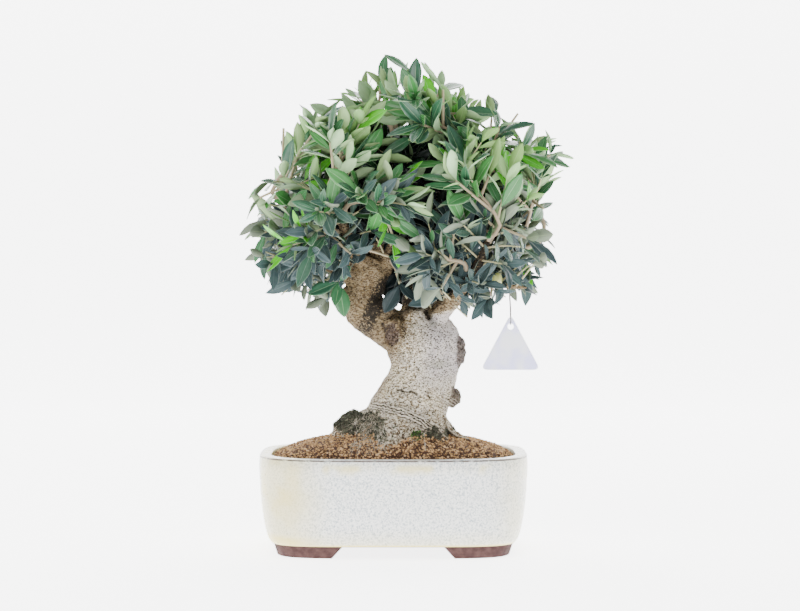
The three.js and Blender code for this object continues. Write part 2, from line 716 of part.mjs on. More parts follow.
function tag() {
  const { width, height, corner, hole, holeDrop, thickness, centreX, y, top } = TAG;
  const apex = [[0, 0], [-width / 2, -height], [width / 2, -height]].map((p) => new THREE.Vector2(...p));
  const shape = new THREE.Shape();
  apex.forEach((p, i) => {
    const before = apex[(i + 2) % 3];
    const after = apex[(i + 1) % 3];
    const into = p.clone().add(before.clone().sub(p).setLength(corner * 1.5));
    const out = p.clone().add(after.clone().sub(p).setLength(corner * 1.5));
    if (i === 0) shape.moveTo(into.x, into.y);
    else shape.lineTo(into.x, into.y);
    shape.quadraticCurveTo(p.x, p.y, out.x, out.y);
  });
  shape.holes.push(new THREE.Path().absarc(0, -holeDrop, hole, 0, 2 * Math.PI, true));
  const plate = new THREE.ExtrudeGeometry(shape, { depth: thickness, bevelEnabled: false, curveSegments: 4 });
  plate.rotateX(Math.PI / 2).translate(centreX, y + thickness / 2, top);
  return solid(plate);
}

// The string hangs over the twig and passes through the tag's hole, from front to back.
const STRING_PATH = [
  [95.2, -38.6, 219.6], [95.1, -40.6, 219.1], [95, -41.7, 217], [95, -41.6, 213], [95.3, -41.2, 206],
  [95.8, -41, 199], [96, -41, 193], [96, -41, 187.7], [96, -40.2, 185.3], [96, -38, 184.3],
  [96, -35.8, 185.3], [96, -35, 187.7], [96, -35, 193], [95.8, -35, 199], [95.4, -34.8, 206],
  [95.1, -34.4, 213], [94.9, -34.3, 217], [94.7, -35.4, 219.1], [94.5, -37.4, 219.6],
];

function string() {
  const curve = new THREE.CatmullRomCurve3(STRING_PATH.map(vec));
  const section = new THREE.Shape();
  const radius = STRING.diameter / 2;
  for (let i = 0; i < STRING.sides; i++) {
    const a = (2 * Math.PI * i) / STRING.sides;
    section[i ? "lineTo" : "moveTo"](radius * Math.cos(a), radius * Math.sin(a));
  }
  return solid(new THREE.ExtrudeGeometry(section, { steps: STRING.steps, extrudePath: curve }));
}

// ---------------------------------------------------------------- the whole object

const bonsai = new THREE.Group();
bonsai.add(piece("pot", pot(), FINISHES.glaze));
bonsai.add(piece("soil", soil(), FINISHES.soil));
bonsai.add(piece("drain_screen_left", screen(-DRAIN.x), FINISHES.screen));
bonsai.add(piece("drain_screen_right", screen(DRAIN.x), FINISHES.screen));
bonsai.add(piece("trunk", trunk(), FINISHES.bark));
bonsai.add(piece("tag", tag(), FINISHES.tag));
bonsai.add(piece("tag_string", string(), FINISHES.string));
growCrown().forEach((spray, i) => {
  const height = spray.shoots[0].line[4][2];
  const young = height > LEAF_LEVELS.silver ? FINISHES.leafSilver : FINISHES.leafGreen;
  const material = height > LEAF_LEVELS.green ? young : FINISHES.leafShade;
  bonsai.add(piece(`spray_${String(i + 1).padStart(2, "0")}`, spraySolid(spray), material));
});
const middle = new THREE.Box3().setFromObject(bonsai).getCenter(new THREE.Vector3());
bonsai.position.set(-middle.x, -middle.y, -FLOOR);

export default bonsai;
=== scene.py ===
"""Olive bonsai: an old, leaning olive trunk with a broad crown of narrow leaves, two green olives and a
bare plastic tag, planted in clay granules in a white glazed pot on four corner feet.

Sizes are in millimetres about the pot's own axis, with the pot's rim at z = 77 and the floor at z = FLOOR,
and become metres in the frame when a mesh is made. The settings that a user would change are in metres.
"""

import math
from functools import partial
from math import cos, pi, sin

import bmesh
import bpy
import numpy as np
from mathutils import Matrix, Vector, noise
from mathutils.bvhtree import BVHTree


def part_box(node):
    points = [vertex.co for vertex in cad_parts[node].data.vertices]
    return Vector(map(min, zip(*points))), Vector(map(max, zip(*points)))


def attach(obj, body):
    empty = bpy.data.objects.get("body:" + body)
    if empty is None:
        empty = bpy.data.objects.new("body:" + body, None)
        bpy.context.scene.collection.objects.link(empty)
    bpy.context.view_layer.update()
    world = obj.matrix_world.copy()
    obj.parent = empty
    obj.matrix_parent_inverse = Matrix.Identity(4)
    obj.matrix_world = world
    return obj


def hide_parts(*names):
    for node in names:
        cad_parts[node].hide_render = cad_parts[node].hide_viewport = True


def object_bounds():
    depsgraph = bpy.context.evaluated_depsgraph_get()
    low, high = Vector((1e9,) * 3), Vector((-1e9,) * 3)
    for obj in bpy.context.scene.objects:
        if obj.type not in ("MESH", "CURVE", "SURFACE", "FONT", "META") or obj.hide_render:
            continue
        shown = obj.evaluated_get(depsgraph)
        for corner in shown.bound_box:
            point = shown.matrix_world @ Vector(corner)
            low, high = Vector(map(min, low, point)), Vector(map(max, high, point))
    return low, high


bl_info = {
    "name": "Olive bonsai",
    "version": (1, 0, 0),
    "blender": (4, 5, 0),
    "location": "View3D > Sidebar > Bonsai",
    "description": "Builds an old olive bonsai in a glazed pot around its frame",
    "category": "Add Mesh",
}

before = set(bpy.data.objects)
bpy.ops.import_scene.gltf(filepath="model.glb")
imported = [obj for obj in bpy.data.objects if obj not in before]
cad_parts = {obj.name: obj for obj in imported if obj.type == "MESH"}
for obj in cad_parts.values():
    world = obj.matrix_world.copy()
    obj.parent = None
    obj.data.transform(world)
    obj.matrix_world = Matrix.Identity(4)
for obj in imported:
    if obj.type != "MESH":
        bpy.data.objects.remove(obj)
CAD_LOW, CAD_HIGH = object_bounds()
POT_LOW, POT_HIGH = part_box("pot")

MM = 0.001
FLOOR = -4
ORIGIN = np.array([(POT_LOW.x + POT_HIGH.x) / 2, (POT_LOW.y + POT_HIGH.y) / 2, POT_LOW.z - FLOOR * MM])
WORD = 0xFFFFFFFF
SEED = 41
GAP = 0.3  # between solids that meet

# ---------------------------------------------------------------- driving dimensions

POT_HALF = (111.8, 81)
RIM_TOP = 77
FOOT_TOP = 5.8
# height, how far the face lies inside the widest outline there, and how square the outline is
POT_OUTSIDE = [(5.8, 11.2, 5), (9.8, 8.2, 4.8), (21, 5, 4.4), (42, 2, 4), (71, 0, 3.6), (77, 1.1, 3.6)]
POT_INSIDE = [(12.5, 16, 4.4), (21, 12, 4.2), (72, 10.6, 3.6), (82, 10.2, 3.6)]
POT_POINTS = 168
RIM_ROUND = 1.3
FOOT_INSET, FOOT_TAPER, FOOT_WIDTH, FOOT_SQUARE = 12.5, 3, 15, 5
FOOT_GAP_X, FOOT_GAP_Y = (49.5, 41), (32, 23)  # half widths of the gaps at the floor and under the pot
DRAIN_X, DRAIN_RADIUS = 48, 10
RIM_LINE = 75.9  # height of the dark line under the rim

SOIL_EDGE, SOIL_RISE, SOIL_STEEPNESS = 74, 15.5, 4
SOIL_HEAP, SOIL_HEAP_SIZE = 4, 45

TAG_X, TAG_Y, TAG_TOP, TAG_WIDTH, TAG_HEIGHT = 96, -38, 193, 49, 46
TAG_THICKNESS, TAG_CORNER, TAG_HOLE, TAG_HOLE_DROP = 1, 4, 2.6, 10.5
STRING_DIAMETER = 0.9
STRING_PATH = [
    (95.2, -38.6, 219.6), (95.1, -40.6, 219.1), (95, -41.7, 217), (95, -41.6, 213), (95.3, -41.2, 206),
    (95.8, -41, 199), (96, -41, 193), (96, -41, 187.7), (96, -40.2, 185.3), (96, -38, 184.3),
    (96, -35.8, 185.3), (96, -35, 187.7), (96, -35, 193), (95.8, -35, 199), (95.4, -34.8, 206),
    (95.1, -34.4, 213), (94.9, -34.3, 217), (94.7, -35.4, 219.1), (94.5, -37.4, 219.6),
]

# The trunk, its roots, burls and main branches: (x, y, z, radius) along each one.
TRUNK = [
    (2, 0, 60, 42), (4, 0, 80, 43), (8, 0, 96, 37), (12.5, 0, 111, 32),
    (17.5, 0, 122, 29.6), (21.8, 0, 131, 28.4), (25, 0, 141, 28), (26.3, 0, 151, 28.6),
    (25.5, 0, 162, 30.3), (24.5, 0, 172, 30.3), (23, 0, 182, 26), (22, 0, 190, 20),
]
LIMB = [
    (24, 0, 160, 23), (7, 0, 174, 17.5), (-13, 0, 186.5, 17), (-25, 0, 197, 17.5),
    (-25.5, 0, 209, 15.2), (-22.5, 0, 219, 15.8), (-20.5, 0, 228, 17.5), (-17, 0, 239, 15),
]
ROOTS = [
    [(0, 0, 104, 18), (-20, -4, 98, 15.5), (-34, -6, 94, 13), (-44, -8, 84, 11), (-50, -9, 68, 7)],
    [(6, -20, 108, 16), (0, -34, 97, 14), (-6, -45, 84, 10), (-9, -51, 68, 6)],
    [(38, -6, 104, 7), (48, -11, 94, 3), (61, -16, 88, 1.8), (74, -20, 74, 1.4)],
    [(28, -16, 106, 12), (34, -26, 95, 8.5), (39, -34, 84, 5.5), (42, -38, 68, 3)],
    [(14, 22, 108, 15), (18, 36, 96, 12), (24, 48, 82, 8), (27, 53, 66, 5)],
    [(-6, 18, 106, 15), (-22, 30, 95, 12), (-34, 42, 82, 8), (-39, 47, 66, 5)],
    [(32, 12, 106, 10), (44, 24, 95, 5.5), (54, 34, 85, 3), (60, 40, 70, 2)],
]
BURLS = [  # centre, then half sizes
    ((53, -3, 161), (7.8, 9, 13)),
    ((50, -6, 122.5), (6.6, 7, 8.5)),
    ((22, 0, 188), (19, 20, 11)),
    ((33, -8, 187), (9, 10, 10)),
    ((0, -14, 180), (9, 9, 10)),
    ((-38, -3, 203), (8, 9, 12)),
    ((-34, 0, 232), (7, 8, 8)),
]
BRANCHES = [
    [(-28, -3, 226, 9), (-44, -5, 246, 7), (-67, -8, 262, 5.2), (-86, -10, 280, 3.4)],
    [(-27, -2, 216, 7), (-54, -12, 233, 5.4), (-80, -19, 239, 4), (-100, -23, 240, 2.8)],
    [(-17, 0, 230, 10), (-12, 3, 258, 8), (-6, 5, 288, 6), (2, 2, 316, 4.4), (4, -2, 342, 3)],
    [(-10, -3, 229, 9), (7, -9, 256, 6.4), (30, -12, 286, 4.8), (50, -14, 314, 3.2)],
    [(-23, 3, 228, 8), (-19, 30, 251, 6), (-15, 53, 277, 4.4), (-12, 68, 300, 3)],
    [(-25, -3, 230, 6.5), (-34, -28, 250, 5), (-42, -50, 268, 3.8), (-48, -66, 286, 2.8)],
    [(28, -1, 182, 10), (52, -5, 206, 7), (80, -4, 226, 5.2), (104, 0, 245, 3.4)],
    [(26, 4, 182, 9), (46, 30, 208, 6), (62, 52, 234, 4.6), (72, 66, 260, 3)],
    [(30, -4, 180, 8), (50, -30, 206, 5.6), (66, -50, 228, 4.2), (76, -64, 252, 2.8)],
    [(16, 0, 184, 9), (14, 2, 206, 6.8), (32, 6, 232, 5.4), (57, 12, 272, 4), (76, 14, 302, 2.8)],
    [(-24, 4, 220, 7), (-44, 27, 242, 5.4), (-61, 47, 262, 4), (-73, 59, 284, 2.8)],
    [(55, -7, 208, 4.5), (75, -28, 219, 3.2), (94, -38, 216, 2.3), (110, -41, 214, 1.7)],
]

# What the bark shows on the trunk's front, as (x, z) places seen from the front.
CRACKS = [  # line, half width and depth
    ([(-3.5, 159), (5, 159.3), (14, 160.4), (26.5, 162)], 0.42, 1.0),
    ([(3.5, 129.8), (9.5, 128.9), (14, 128), (19.5, 126.8)], 0.75, 1.7),
    ([(25, 129), (29, 127.5), (30.5, 122)], 0.6, 1.2),
    ([(26.5, 198), (29.5, 190.5)], 1.6, 3.2),
    ([(-8.5, 184.5), (-7.6, 181), (-8.6, 177)], 1.1, 1.8),
    ([(10.3, 136), (10.3, 135)], 0.6, 1.0),
]
FOLDS = [  # middle line, spacing of the ridges, half width of the band and height
    ([(-19, 116.5), (0, 114.2), (11, 110.4), (23, 104.8), (31, 97.5)], 2.1, 4.4, 0.8),
    ([(-7, 155), (1, 154.4), (9, 156.5)], 1.9, 6, 0.22),
    ([(36, 122), (44, 118), (52, 112)], 2.2, 9, 0.3),
    ([(24, 102), (36, 96), (44, 92)], 2.2, 6, 0.4),
]
SCARS = [((-1.5, 176), (7, 11))]  # centre and half sizes of dead, bare wood
FAN = (3.2, 193)  # where the grooves above and beside the larger scar spread from
CROTCH = [(-4, 216), (-11, 206), (-17, 196), (-21, 186), (-25, 177)]  # the darkest bark: painted shade along the crotch, with some dark lichen
# centre, radius and height of small bumps
KNOBS = [((23.3, 166.6), 2.6, 1.3), ((24, 130), 2, 0.6), ((12, 173), 4, 0.9), ((13, 191), 5, 1.6)]
MOSS = [  # centre and half sizes, how thick it grows, and how much of it is live
    ((-36, 101), (14, 10), 3.4, 0.0),
    ((-18, 98), (16, 14), 0.9, 0.0),
    ((34, 92), (12, 6.5), 1.2, 0.0),
    ((18.5, 91.5), (6.5, 5), 1.6, 1.0),
]
SURFACE_ROOTS = [  # thin roots on the bark and the soil, (x, z) from the front, and the radii at their ends
    ([(-18, 101), (-23.3, 97), (-28.6, 91.2), (-34.8, 84)], 0.9, 0.5),
    ([(43.8, 101.8), (46.5, 95.6), (52, 91.5), (60.6, 89), (72.5, 85)], 0.8, 0.6),
    ([(40.3, 93.9), (46.5, 88.6), (55.3, 80)], 0.7, 0.3),
    ([(25.3, 94.8), (25.7, 88.6), (26.2, 82.4)], 0.5, 0.4),
]
FIBRES = 260  # how many fine roots lie over the moss

CROWN_CENTRE = (12, 2, 290)
CROWN_REACH = (118, 86, 92)  # where the sprays' leading tips end
CROWN_LOWEST = -0.84
CROWN_SPRAYS = 27
SIDE_REACH = 25
SIDE_SHOOTS = (0.42, 0.58, 0.74)
SPRAY_SPACING = 11
GOOD_STEM = 34
LEAF_LENGTH = (26, 38)
LEAF_SLENDER = (0.3, 0.38)
STEM_SHARES = (0.7, 0.85, 1)
SIDE_SHARES = (1,)
BLADE_ROOM = 1.7  # half the least distance between two blades' middle surfaces
BLADE_CHECKS = (0.26, 0.36, 0.46, 0.56, 0.66, 0.76, 0.86, 0.96)
BLADE_SIDES = (-0.84, -0.42, 0, 0.42, 0.84)
BLADE_FOOT = 0.14
OLIVE_LENGTH, OLIVE_WIDTH, OLIVE_STALK = 11.6, 8.2, 0.8
OLIVES = [((54, -64, 279), (-1, -0.1, -0.2)), ((84, -60, 221), (-0.1, -0.1, -1))]
OLD_WOOD, HANGING = -1, -2

# What the fine crown adds between the leaves of the solid one.
INNER_SHOOTS = (0.3, 0.46, 0.6, 0.72, 0.84, 0.94)
INNER_REACH = (20, 36)
INTERNODE = 7.5
YOUNG_SHARE = 0.3  # of the shoots in the upper crown that end in bright new leaves
LOW_SHOOTS = (0.12, 0.2, 0.3, 0.42, 0.54, 0.66, 0.78, 0.9)  # where short twigs leave the main branches
LEAF_EDGE = (0.78, 1.0)  # how far towards the edge of the leaves a shoot's own leaves may stand
LOW_REACH = (24, 44)
# Thin twigs before the limb and in the fork, as (x, y, z, radius), and the leaves on them: root, tip, width,
# how much painted light each has, from slate to green, and how dark each is with painted shade.
FRONT_TWIGS = [
    [(-46, -6, 244, 1.6), (-43, -18, 232, 1.1), (-44.5, -26, 218, 0.7)],
    [(-6, -8, 242, 1.6), (2, -17, 229, 1.1), (5, -21, 217, 0.7)],
    [(6, -10, 250, 2), (20, -22, 232, 1.5), (41, -30, 209, 1.1), (61, -29, 190, 0.7)],
    [(-42, -5, 246, 2), (-24, -21, 246, 1.4), (-4, -23, 240, 0.9)],
    [(14, 2, 206, 2), (8, 6, 214, 1.4), (2, 8, 226, 1)],
    [(18, 3, 212, 2), (10, 16, 222, 1.4), (-2, 22, 238, 1)],
    [(52, -5, 206, 2), (60, -16, 214, 1.5), (66, -24, 224, 1)],
]
FRONT_LEAVES = [
    ((-44.5, -26, 218), (-40.4, -29, 190), 13.5, 0.8, 0),
    ((-45, -25, 219), (-70, -33, 209), 12, 0.75, 0),
    ((-44, -24, 221), (-48, -32, 199), 10, 0.7, 0),
    ((-44.5, -25, 219), (-36, -33, 232), 9, 0.9, 0),
    ((5, -21, 217), (-7.5, -23, 193.5), 13.5, 0, 0.75),
    ((4, -20, 219), (17, -27, 205), 9, 0, 0.6),
    ((41, -30, 216), (20.5, -34, 209), 9, 0.05, 0.6),
    ((41, -30, 208), (12.5, -35, 200.5), 11, 0.1, 0.3),
    ((49, -30, 216), (62.5, -35, 202.5), 9, 0.15, 0.2),
    ((61, -29, 190), (56, -33, 203), 7, 0.1, 0.1),
    ((-4, -23, 240), (17, -30, 237), 12, 0.9, 0),
    ((-24, -21, 246), (-30, -27, 235), 9, 0.05, 0.3),
    ((-4, -23, 240), (12, -29, 226), 9, 0.15, 0.3),
    ((8, 6, 214), (-6, 4, 206), 11, 0, 1),
    ((2, 8, 226), (-8, 6, 214), 12, 0, 1),
    ((10, 5, 212), (20, 4, 224), 12, 0, 1),
    ((10, 20, 238), (-2, 18, 212), 15, 0, 1),
    ((16, 22, 230), (2, 20, 202), 15, 0, 1),
    ((-2, 24, 242), (-10, 22, 214), 15, 0, 1),
    ((22, 20, 226), (12, 18, 197), 13, 0, 1),
    ((-2, 26, 228), (8, 24, 199), 14, 0, 1),
    ((-14, 22, 238), (-6, 22, 206), 14, 0, 1),
    ((30, 16, 232), (24, 14, 203), 13, 0, 1),
    ((63, -21, 221), (49, -27, 201), 10, 0.05, 0.45),
    ((66, -24, 224), (68, -30, 202), 9, 0.1, 0.3),
    ((60, -17, 215), (41, -25, 211), 8, 0.05, 0.5),
    ((64, -22, 222), (80, -29, 209), 9, 0.15, 0.2),
]
# The edge of the leaves as seen from the front, (x, z) where a sight line passes the pot's axis.
# The limb and the fork stand clear below it.
CROWN_EDGE = [
    (-131, 253), (-124, 272), (-121, 294), (-103, 313), (-95, 330), (-96, 352), (-80, 367), (-57, 373),
    (-44, 386), (-28, 393), (-11, 410), (10, 410), (29, 404), (46, 392), (64, 386), (84, 379),
    (92, 362), (115, 354), (139, 339), (154, 319), (137, 293), (132, 271), (140, 246), (135, 220),
    (118, 201), (99, 198), (92, 186), (80, 184), (62, 188), (48, 196), (20, 197), (5, 193),
    (-6, 204), (-5, 222), (2, 238), (-20, 243), (-36, 240), (-42, 222), (-50, 206), (-47, 187),
    (-76, 189), (-92, 204), (-106, 197), (-119, 216),
]

# The camera looks at the plant from in front, a little down.
CAMERA_BACK = 1580
CAMERA_RIGHT = 5.45
CAMERA_HEIGHT = 225.6
CAMERA_DROP = 0.96  # degrees below level
CAMERA_LENS = 84.74
# The paper's half width, front edge, where it starts to curve up, how round it curves, and its height.
PAPER_HALF, PAPER_FRONT, PAPER_BEND, PAPER_ROUND, PAPER_TOP = 9000, -12000, 1500, 1200, 5200
LAMP_AIM = (0, 0, 0.2)


# ---------------------------------------------------------------- settings


def colour(name, description, value):
    return bpy.props.FloatVectorProperty(
        name=name, description=description, subtype="COLOR", size=4, min=0, max=1, default=(*value, 1)
    )


def amount(name, description, value, **kinds):
    return bpy.props.FloatProperty(name=name, description=description, min=0, default=value, **kinds)


def length(name, description, value):
    return amount(name, description, value * MM, unit="LENGTH")


class BonsaiPotSettings(bpy.types.PropertyGroup):
    glaze: colour("Glaze", "Colour of the clean glaze", (0.76, 0.76, 0.73))
    mottle: colour("Mottling", "Colour of the fine marks in the glaze", (0.20, 0.25, 0.29))
    stain: colour("Stain", "Colour where the glaze has taken up stains", (0.66, 0.56, 0.20))
    line: colour("Rim line", "Colour of the bare line on the rim's edge", (0.06, 0.04, 0.03))
    clay: colour("Clay", "Colour of the unglazed feet", (0.045, 0.022, 0.021))
    stains: amount("Staining", "How strongly the glaze is stained", 1.0, subtype="FACTOR", max=1)


class BonsaiSoilSettings(bpy.types.PropertyGroup):
    spacing: length("Spacing", "Least distance between two granules", 1.45)
    smallest: length("Smallest", "Size of the smallest granules", 1.2)
    largest: length("Largest", "Size of the largest granules", 2.6)
    light: colour("Light granules", "Colour of the palest granules", (0.68, 0.43, 0.21))
    dark: colour("Dark granules", "Colour of the darkest granules", (0.09, 0.040, 0.018))
    seed: bpy.props.IntProperty(name="Seed", description="Seed of the granules' places", min=0, default=7)


class BonsaiBarkSettings(bpy.types.PropertyGroup):
    voxel: length("Detail", "Size of the smallest facets of the trunk", 1.12)
    pale: colour("Pale bark", "Colour of the smooth bark", (0.56, 0.51, 0.42))
    cream: colour("Cream bark", "Colour of the warmer patches", (0.66, 0.58, 0.43))
    grey: colour("Grey bark", "Colour of the greyer bark at the upper right", (0.38, 0.345, 0.335))
    tan: colour("Tan bark", "Colour of the bark's older and shaded patches", (0.115, 0.072, 0.028))
    pores: colour("Pores", "Colour of the bark's pores and grooves", (0.022, 0.014, 0.009))
    bare: colour("Bare wood", "Colour of the dead, bare wood", (0.13, 0.095, 0.075))
    lichen: colour("Lichen", "Colour of the green-grey film on the bark", (0.15, 0.17, 0.11))


class BonsaiLeafSettings(bpy.types.PropertyGroup):
    dark: colour("Old leaves", "Upper side of the old leaves", (0.010, 0.062, 0.034))
    fresh: colour("Grown leaves", "Upper side of this year's leaves", (0.028, 0.150, 0.030))
    slate: colour("Shaded leaves", "Upper side of the leaves in the lower crown", (0.024, 0.042, 0.054))
    young: colour("Young leaves", "The newest leaves at the shoots' tips", (0.06, 0.33, 0.006))
    under: colour("Undersides", "The felted underside", (0.30, 0.45, 0.25))
    twig: colour("Twigs", "Bark of the young twigs", (0.34, 0.26, 0.18))
    fruit: colour("Olives", "Skin of the green olives", (0.29, 0.30, 0.10))


class BonsaiTagSettings(bpy.types.PropertyGroup):
    plastic: colour("Plastic", "Colour of the bare tag", (0.60, 0.60, 0.90))
    string: colour("String", "Colour of the tag's string", (0.10, 0.085, 0.08))
    diameter: length("String diameter", "Diameter of the string", STRING_DIAMETER)


class BonsaiStageSettings(bpy.types.PropertyGroup):
    paper: colour("Paper", "Colour of the floor and backdrop", (0.93, 0.93, 0.93))
    glow: amount("Glow", "Light given off by the lit paper itself", 4.6)
    sky: amount("Sky", "Strength of the even light from all around", 0.6)
    key: amount("Key", "Power of the main lamp", 34, subtype="POWER", unit="POWER")
    fill: amount("Fill", "Power of the second lamp", 6, subtype="POWER", unit="POWER")


SETTINGS = {
    "bonsai_pot": BonsaiPotSettings,
    "bonsai_soil": BonsaiSoilSettings,
    "bonsai_bark": BonsaiBarkSettings,
    "bonsai_leaf": BonsaiLeafSettings,
    "bonsai_tag": BonsaiTagSettings,
    "bonsai_stage": BonsaiStageSettings,
}


# ---------------------------------------------------------------- meshes and node trees


def placed(points):
    """Points about the pot's own axis, in millimetres, as metres in the frame."""
    return np.array(points, float).reshape(-1, 3) * MM + ORIGIN


def in_scene(name, data):
    """A new object that shows the data."""
    made = bpy.data.objects.new(name, data)
    bpy.context.scene.collection.objects.link(made)
    return made


def mesh_object(name, points, faces, edges=()):
    mesh = bpy.data.meshes.new(name)
    mesh.from_pydata(placed(points).tolist(), [tuple(e) for e in edges], [tuple(f) for f in faces])
    mesh.validate()
    return in_scene(name, mesh)


def small_shape(name, points, faces):
    """A shape about one across, to be strewn or set in many places and removed afterwards."""
    mesh = bpy.data.meshes.new(name)
    mesh.from_pydata(points, [], faces)
    return in_scene(name, mesh)


def numbered(shapes):
    """Shapes by the names that a tree's inputs give them."""
    return {f"Shape {k}": shape for k, shape in enumerate(shapes)}


def removed(shapes):
    for shape in shapes:
        bpy.data.objects.remove(shape)


def store(mesh, name, values, kind="FLOAT"):
    """An attribute of a mesh's points from a list of numbers or vectors."""
    data = mesh.attributes.new(name, kind, "POINT").data
    field = "vector" if kind == "FLOAT_VECTOR" else "value"
    data.foreach_set(field, np.array(values, np.int32 if kind == "INT" else np.float32).ravel())


def finished(made, material, slot=None, nodes=(), smooth=True):
    """Gives a piece its material and body, and hides the solids that it stands for. The slot is not used."""
    if material:
        made.data.materials.clear()
        made.data.materials.append(material)
    made.data.polygons.foreach_set("use_smooth", [smooth] * len(made.data.polygons))
    made.data.update()
    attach(made, "root")
    if nodes:
        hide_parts(*nodes)
    return made


def baked(made):
    """The object with its modifiers turned into a plain mesh."""
    graph = bpy.context.evaluated_depsgraph_get()
    mesh = bpy.data.meshes.new_from_object(made.evaluated_get(graph), depsgraph=graph)
    made.modifiers.clear()
    old = made.data
    made.data = mesh
    bpy.data.meshes.remove(old)
    mesh.name = made.name
    return made


def with_nodes(made, tree, **inputs):
    """Runs a geometry tree over the object and keeps the result as its mesh."""
    modifier = made.modifiers.new(tree.name, "NODES")
    modifier.node_group = tree
    for socket in tree.interface.items_tree:
        if socket.item_type == "SOCKET" and socket.in_out == "INPUT" and socket.name in inputs:
            modifier[socket.identifier] = inputs[socket.name]
    return baked(made)


def shown(sockets, name):
    """The socket of that name which the node's settings leave in use."""
    return next(socket for socket in sockets if socket.name == name and socket.enabled)


def node(tree, kind, inputs=None, **settings):
    """A node with its settings, its inputs given by name or number as values or as sockets to link."""
    made = tree.nodes.new(kind)
    for name, value in settings.items():
        setattr(made, name, value)
    for name, value in (inputs or {}).items():
        socket = made.inputs[name] if isinstance(name, int) else shown(made.inputs, name)
        if isinstance(value, bpy.types.NodeSocket):
            tree.links.new(value, socket)
        else:
            socket.default_value = value
    return made


def geometry_tree(name, sockets):
    """An empty geometry tree with a Geometry input and the named ones, and its input and output nodes."""
    tree = bpy.data.node_groups.new(name, "GeometryNodeTree")
    tree.interface.new_socket("Geometry", in_out="INPUT", socket_type="NodeSocketGeometry")
    for label, kind in sockets.items():
        tree.interface.new_socket(label, in_out="INPUT", socket_type="NodeSocket" + kind)
    tree.interface.new_socket("Geometry", in_out="OUTPUT", socket_type="NodeSocketGeometry")
    return tree, tree.nodes.new("NodeGroupInput").outputs, tree.nodes.new("NodeGroupOutput").inputs


def named(tree, name, kind="FLOAT"):
    """A named attribute read in a geometry tree."""
    found = node(tree, "GeometryNodeInputNamedAttribute", {"Name": name}, data_type=kind)
    return shown(found.outputs, "Attribute")


def rounded(tree, mesh, sides):
    """Lines made into round bars, as thick as their points say."""
    lines = node(tree, "GeometryNodeMeshToCurve", {"Mesh": mesh})
    ring = node(tree, "GeometryNodeCurvePrimitiveCircle", {"Resolution": sides, "Radius": 1.0})
    values = {"Curve": lines.outputs[0], "Profile Curve": ring.outputs[0], "Scale": named(tree, "thick")}
    return node(tree, "GeometryNodeCurveToMesh", values | {"Fill Caps": True}).outputs[0]


def clad(tree, geometry, material):
    return node(tree, "GeometryNodeSetMaterial", {"Geometry": geometry, "Material": material}).outputs[0]


def realized(tree, geometry):
    return node(tree, "GeometryNodeRealizeInstances", {"Geometry": geometry}).outputs[0]


def joined(tree, parts):
    """Several geometries as one."""
    made = node(tree, "GeometryNodeJoinGeometry")
    for part in parts:
        tree.links.new(part, made.inputs[0])
    return made.outputs[0]


def choice(tree, given, kinds):
    """The numbered shapes given to a tree, joined for points to pick from."""
    values = [{"Object": given[f"Shape {k}"], "As Instance": True} for k in range(kinds)]
    return joined(tree, [node(tree, "GeometryNodeObjectInfo", v).outputs["Geometry"] for v in values])


def chance(tree, kind, low, high, seed):
    """A random value for each point or instance."""
    values = {"Min": low, "Max": high, "Seed": seed}
    return shown(node(tree, "FunctionNodeRandomValue", values, data_type=kind).outputs, "Value")


def home(*values):
    """The tree that the first socket among some values is in."""
    return next(value.id_data for value in values if isinstance(value, bpy.types.NodeSocket))


def maths(operation, *values, clamp=False):
    """One step of arithmetic in the tree that its values are in."""
    inputs = dict(enumerate(values))
    return node(home(*values), "ShaderNodeMath", inputs, operation=operation, use_clamp=clamp).outputs[0]


times, plus, most, fused = (partial(maths, kind) for kind in ("MULTIPLY", "ADD", "MAXIMUM", "MULTIPLY_ADD"))


def skin(rings, closed=True):
    """Faces over rings of equal point counts, with a fan-free flat face at each end if closed."""
    n = len(rings[0])
    faces = []
    for r in range(len(rings) - 1):
        for i in range(n):
            j = (i + 1) % n
            faces.append((r * n + i, r * n + j, (r + 1) * n + j, (r + 1) * n + i))
    if closed:
        last = (len(rings) - 1) * n
        faces.append(tuple(range(n - 1, -1, -1)))
        faces.append(tuple(range(last, last + n)))
    return [p for ring in rings for p in ring], faces


def tube(line, sides):
    """The points and faces of a tapered round bar along a line of (x, y, z, radius)."""
    last = len(line) - 1
    across = sideways(on_line(line, 0)[1], 0)
    rings = []
    for k, p in enumerate(line):
        axis = unit(less(line[min(k + 1, last)], line[max(k - 1, 0)]))
        across = squared(across, axis)
        other = cross(axis, across)
        rings.append([beside(p, across, other, p[3], 2 * pi * i / sides) for i in range(sides)])
    return skin(rings)


def merged(parts):
    """One list of points and faces from several."""
    points, faces = [], []
    for some, found in parts:
        faces += [tuple(i + len(points) for i in f) for f in found]
        points += some
    return points, faces


def ellipsoid(centre, half, level=3):
    """The points and faces of a round ball stretched to the given half sizes."""
    ball = bmesh.new()
    bmesh.ops.create_icosphere(ball, subdivisions=level, radius=1)
    points = [tuple(c + v * h for c, v, h in zip(centre, p.co, half)) for p in ball.verts]
    faces = [tuple(v.index for v in f.verts) for f in ball.faces]
    ball.free()
    return points, faces


# ---------------------------------------------------------------- materials


def place_mm(tree, stretch=(1, 1, 1)):
    """The place on a piece in millimetres about the pot's axis, stretched if a pattern is."""
    shift = [-o / MM * s for o, s in zip(ORIGIN, stretch)]
    source = node(tree, "ShaderNodeTexCoord").outputs["Object"]
    size = [s / MM for s in stretch]
    return node(tree, "ShaderNodeMapping", {"Vector": source, "Location": shift, "Scale": size}).outputs[0]


def surface(name, **sockets):
    """A material with one principled surface, whose even values stand on its own sockets, and the place."""
    material = bpy.data.materials.new(name)
    material.use_nodes = True
    tree = material.node_tree
    shader = tree.nodes["Principled BSDF"]
    for label, value in sockets.items():
        shader.inputs[label.replace("_", " ")].default_value = value
    return material, tree, shader, place_mm(tree)


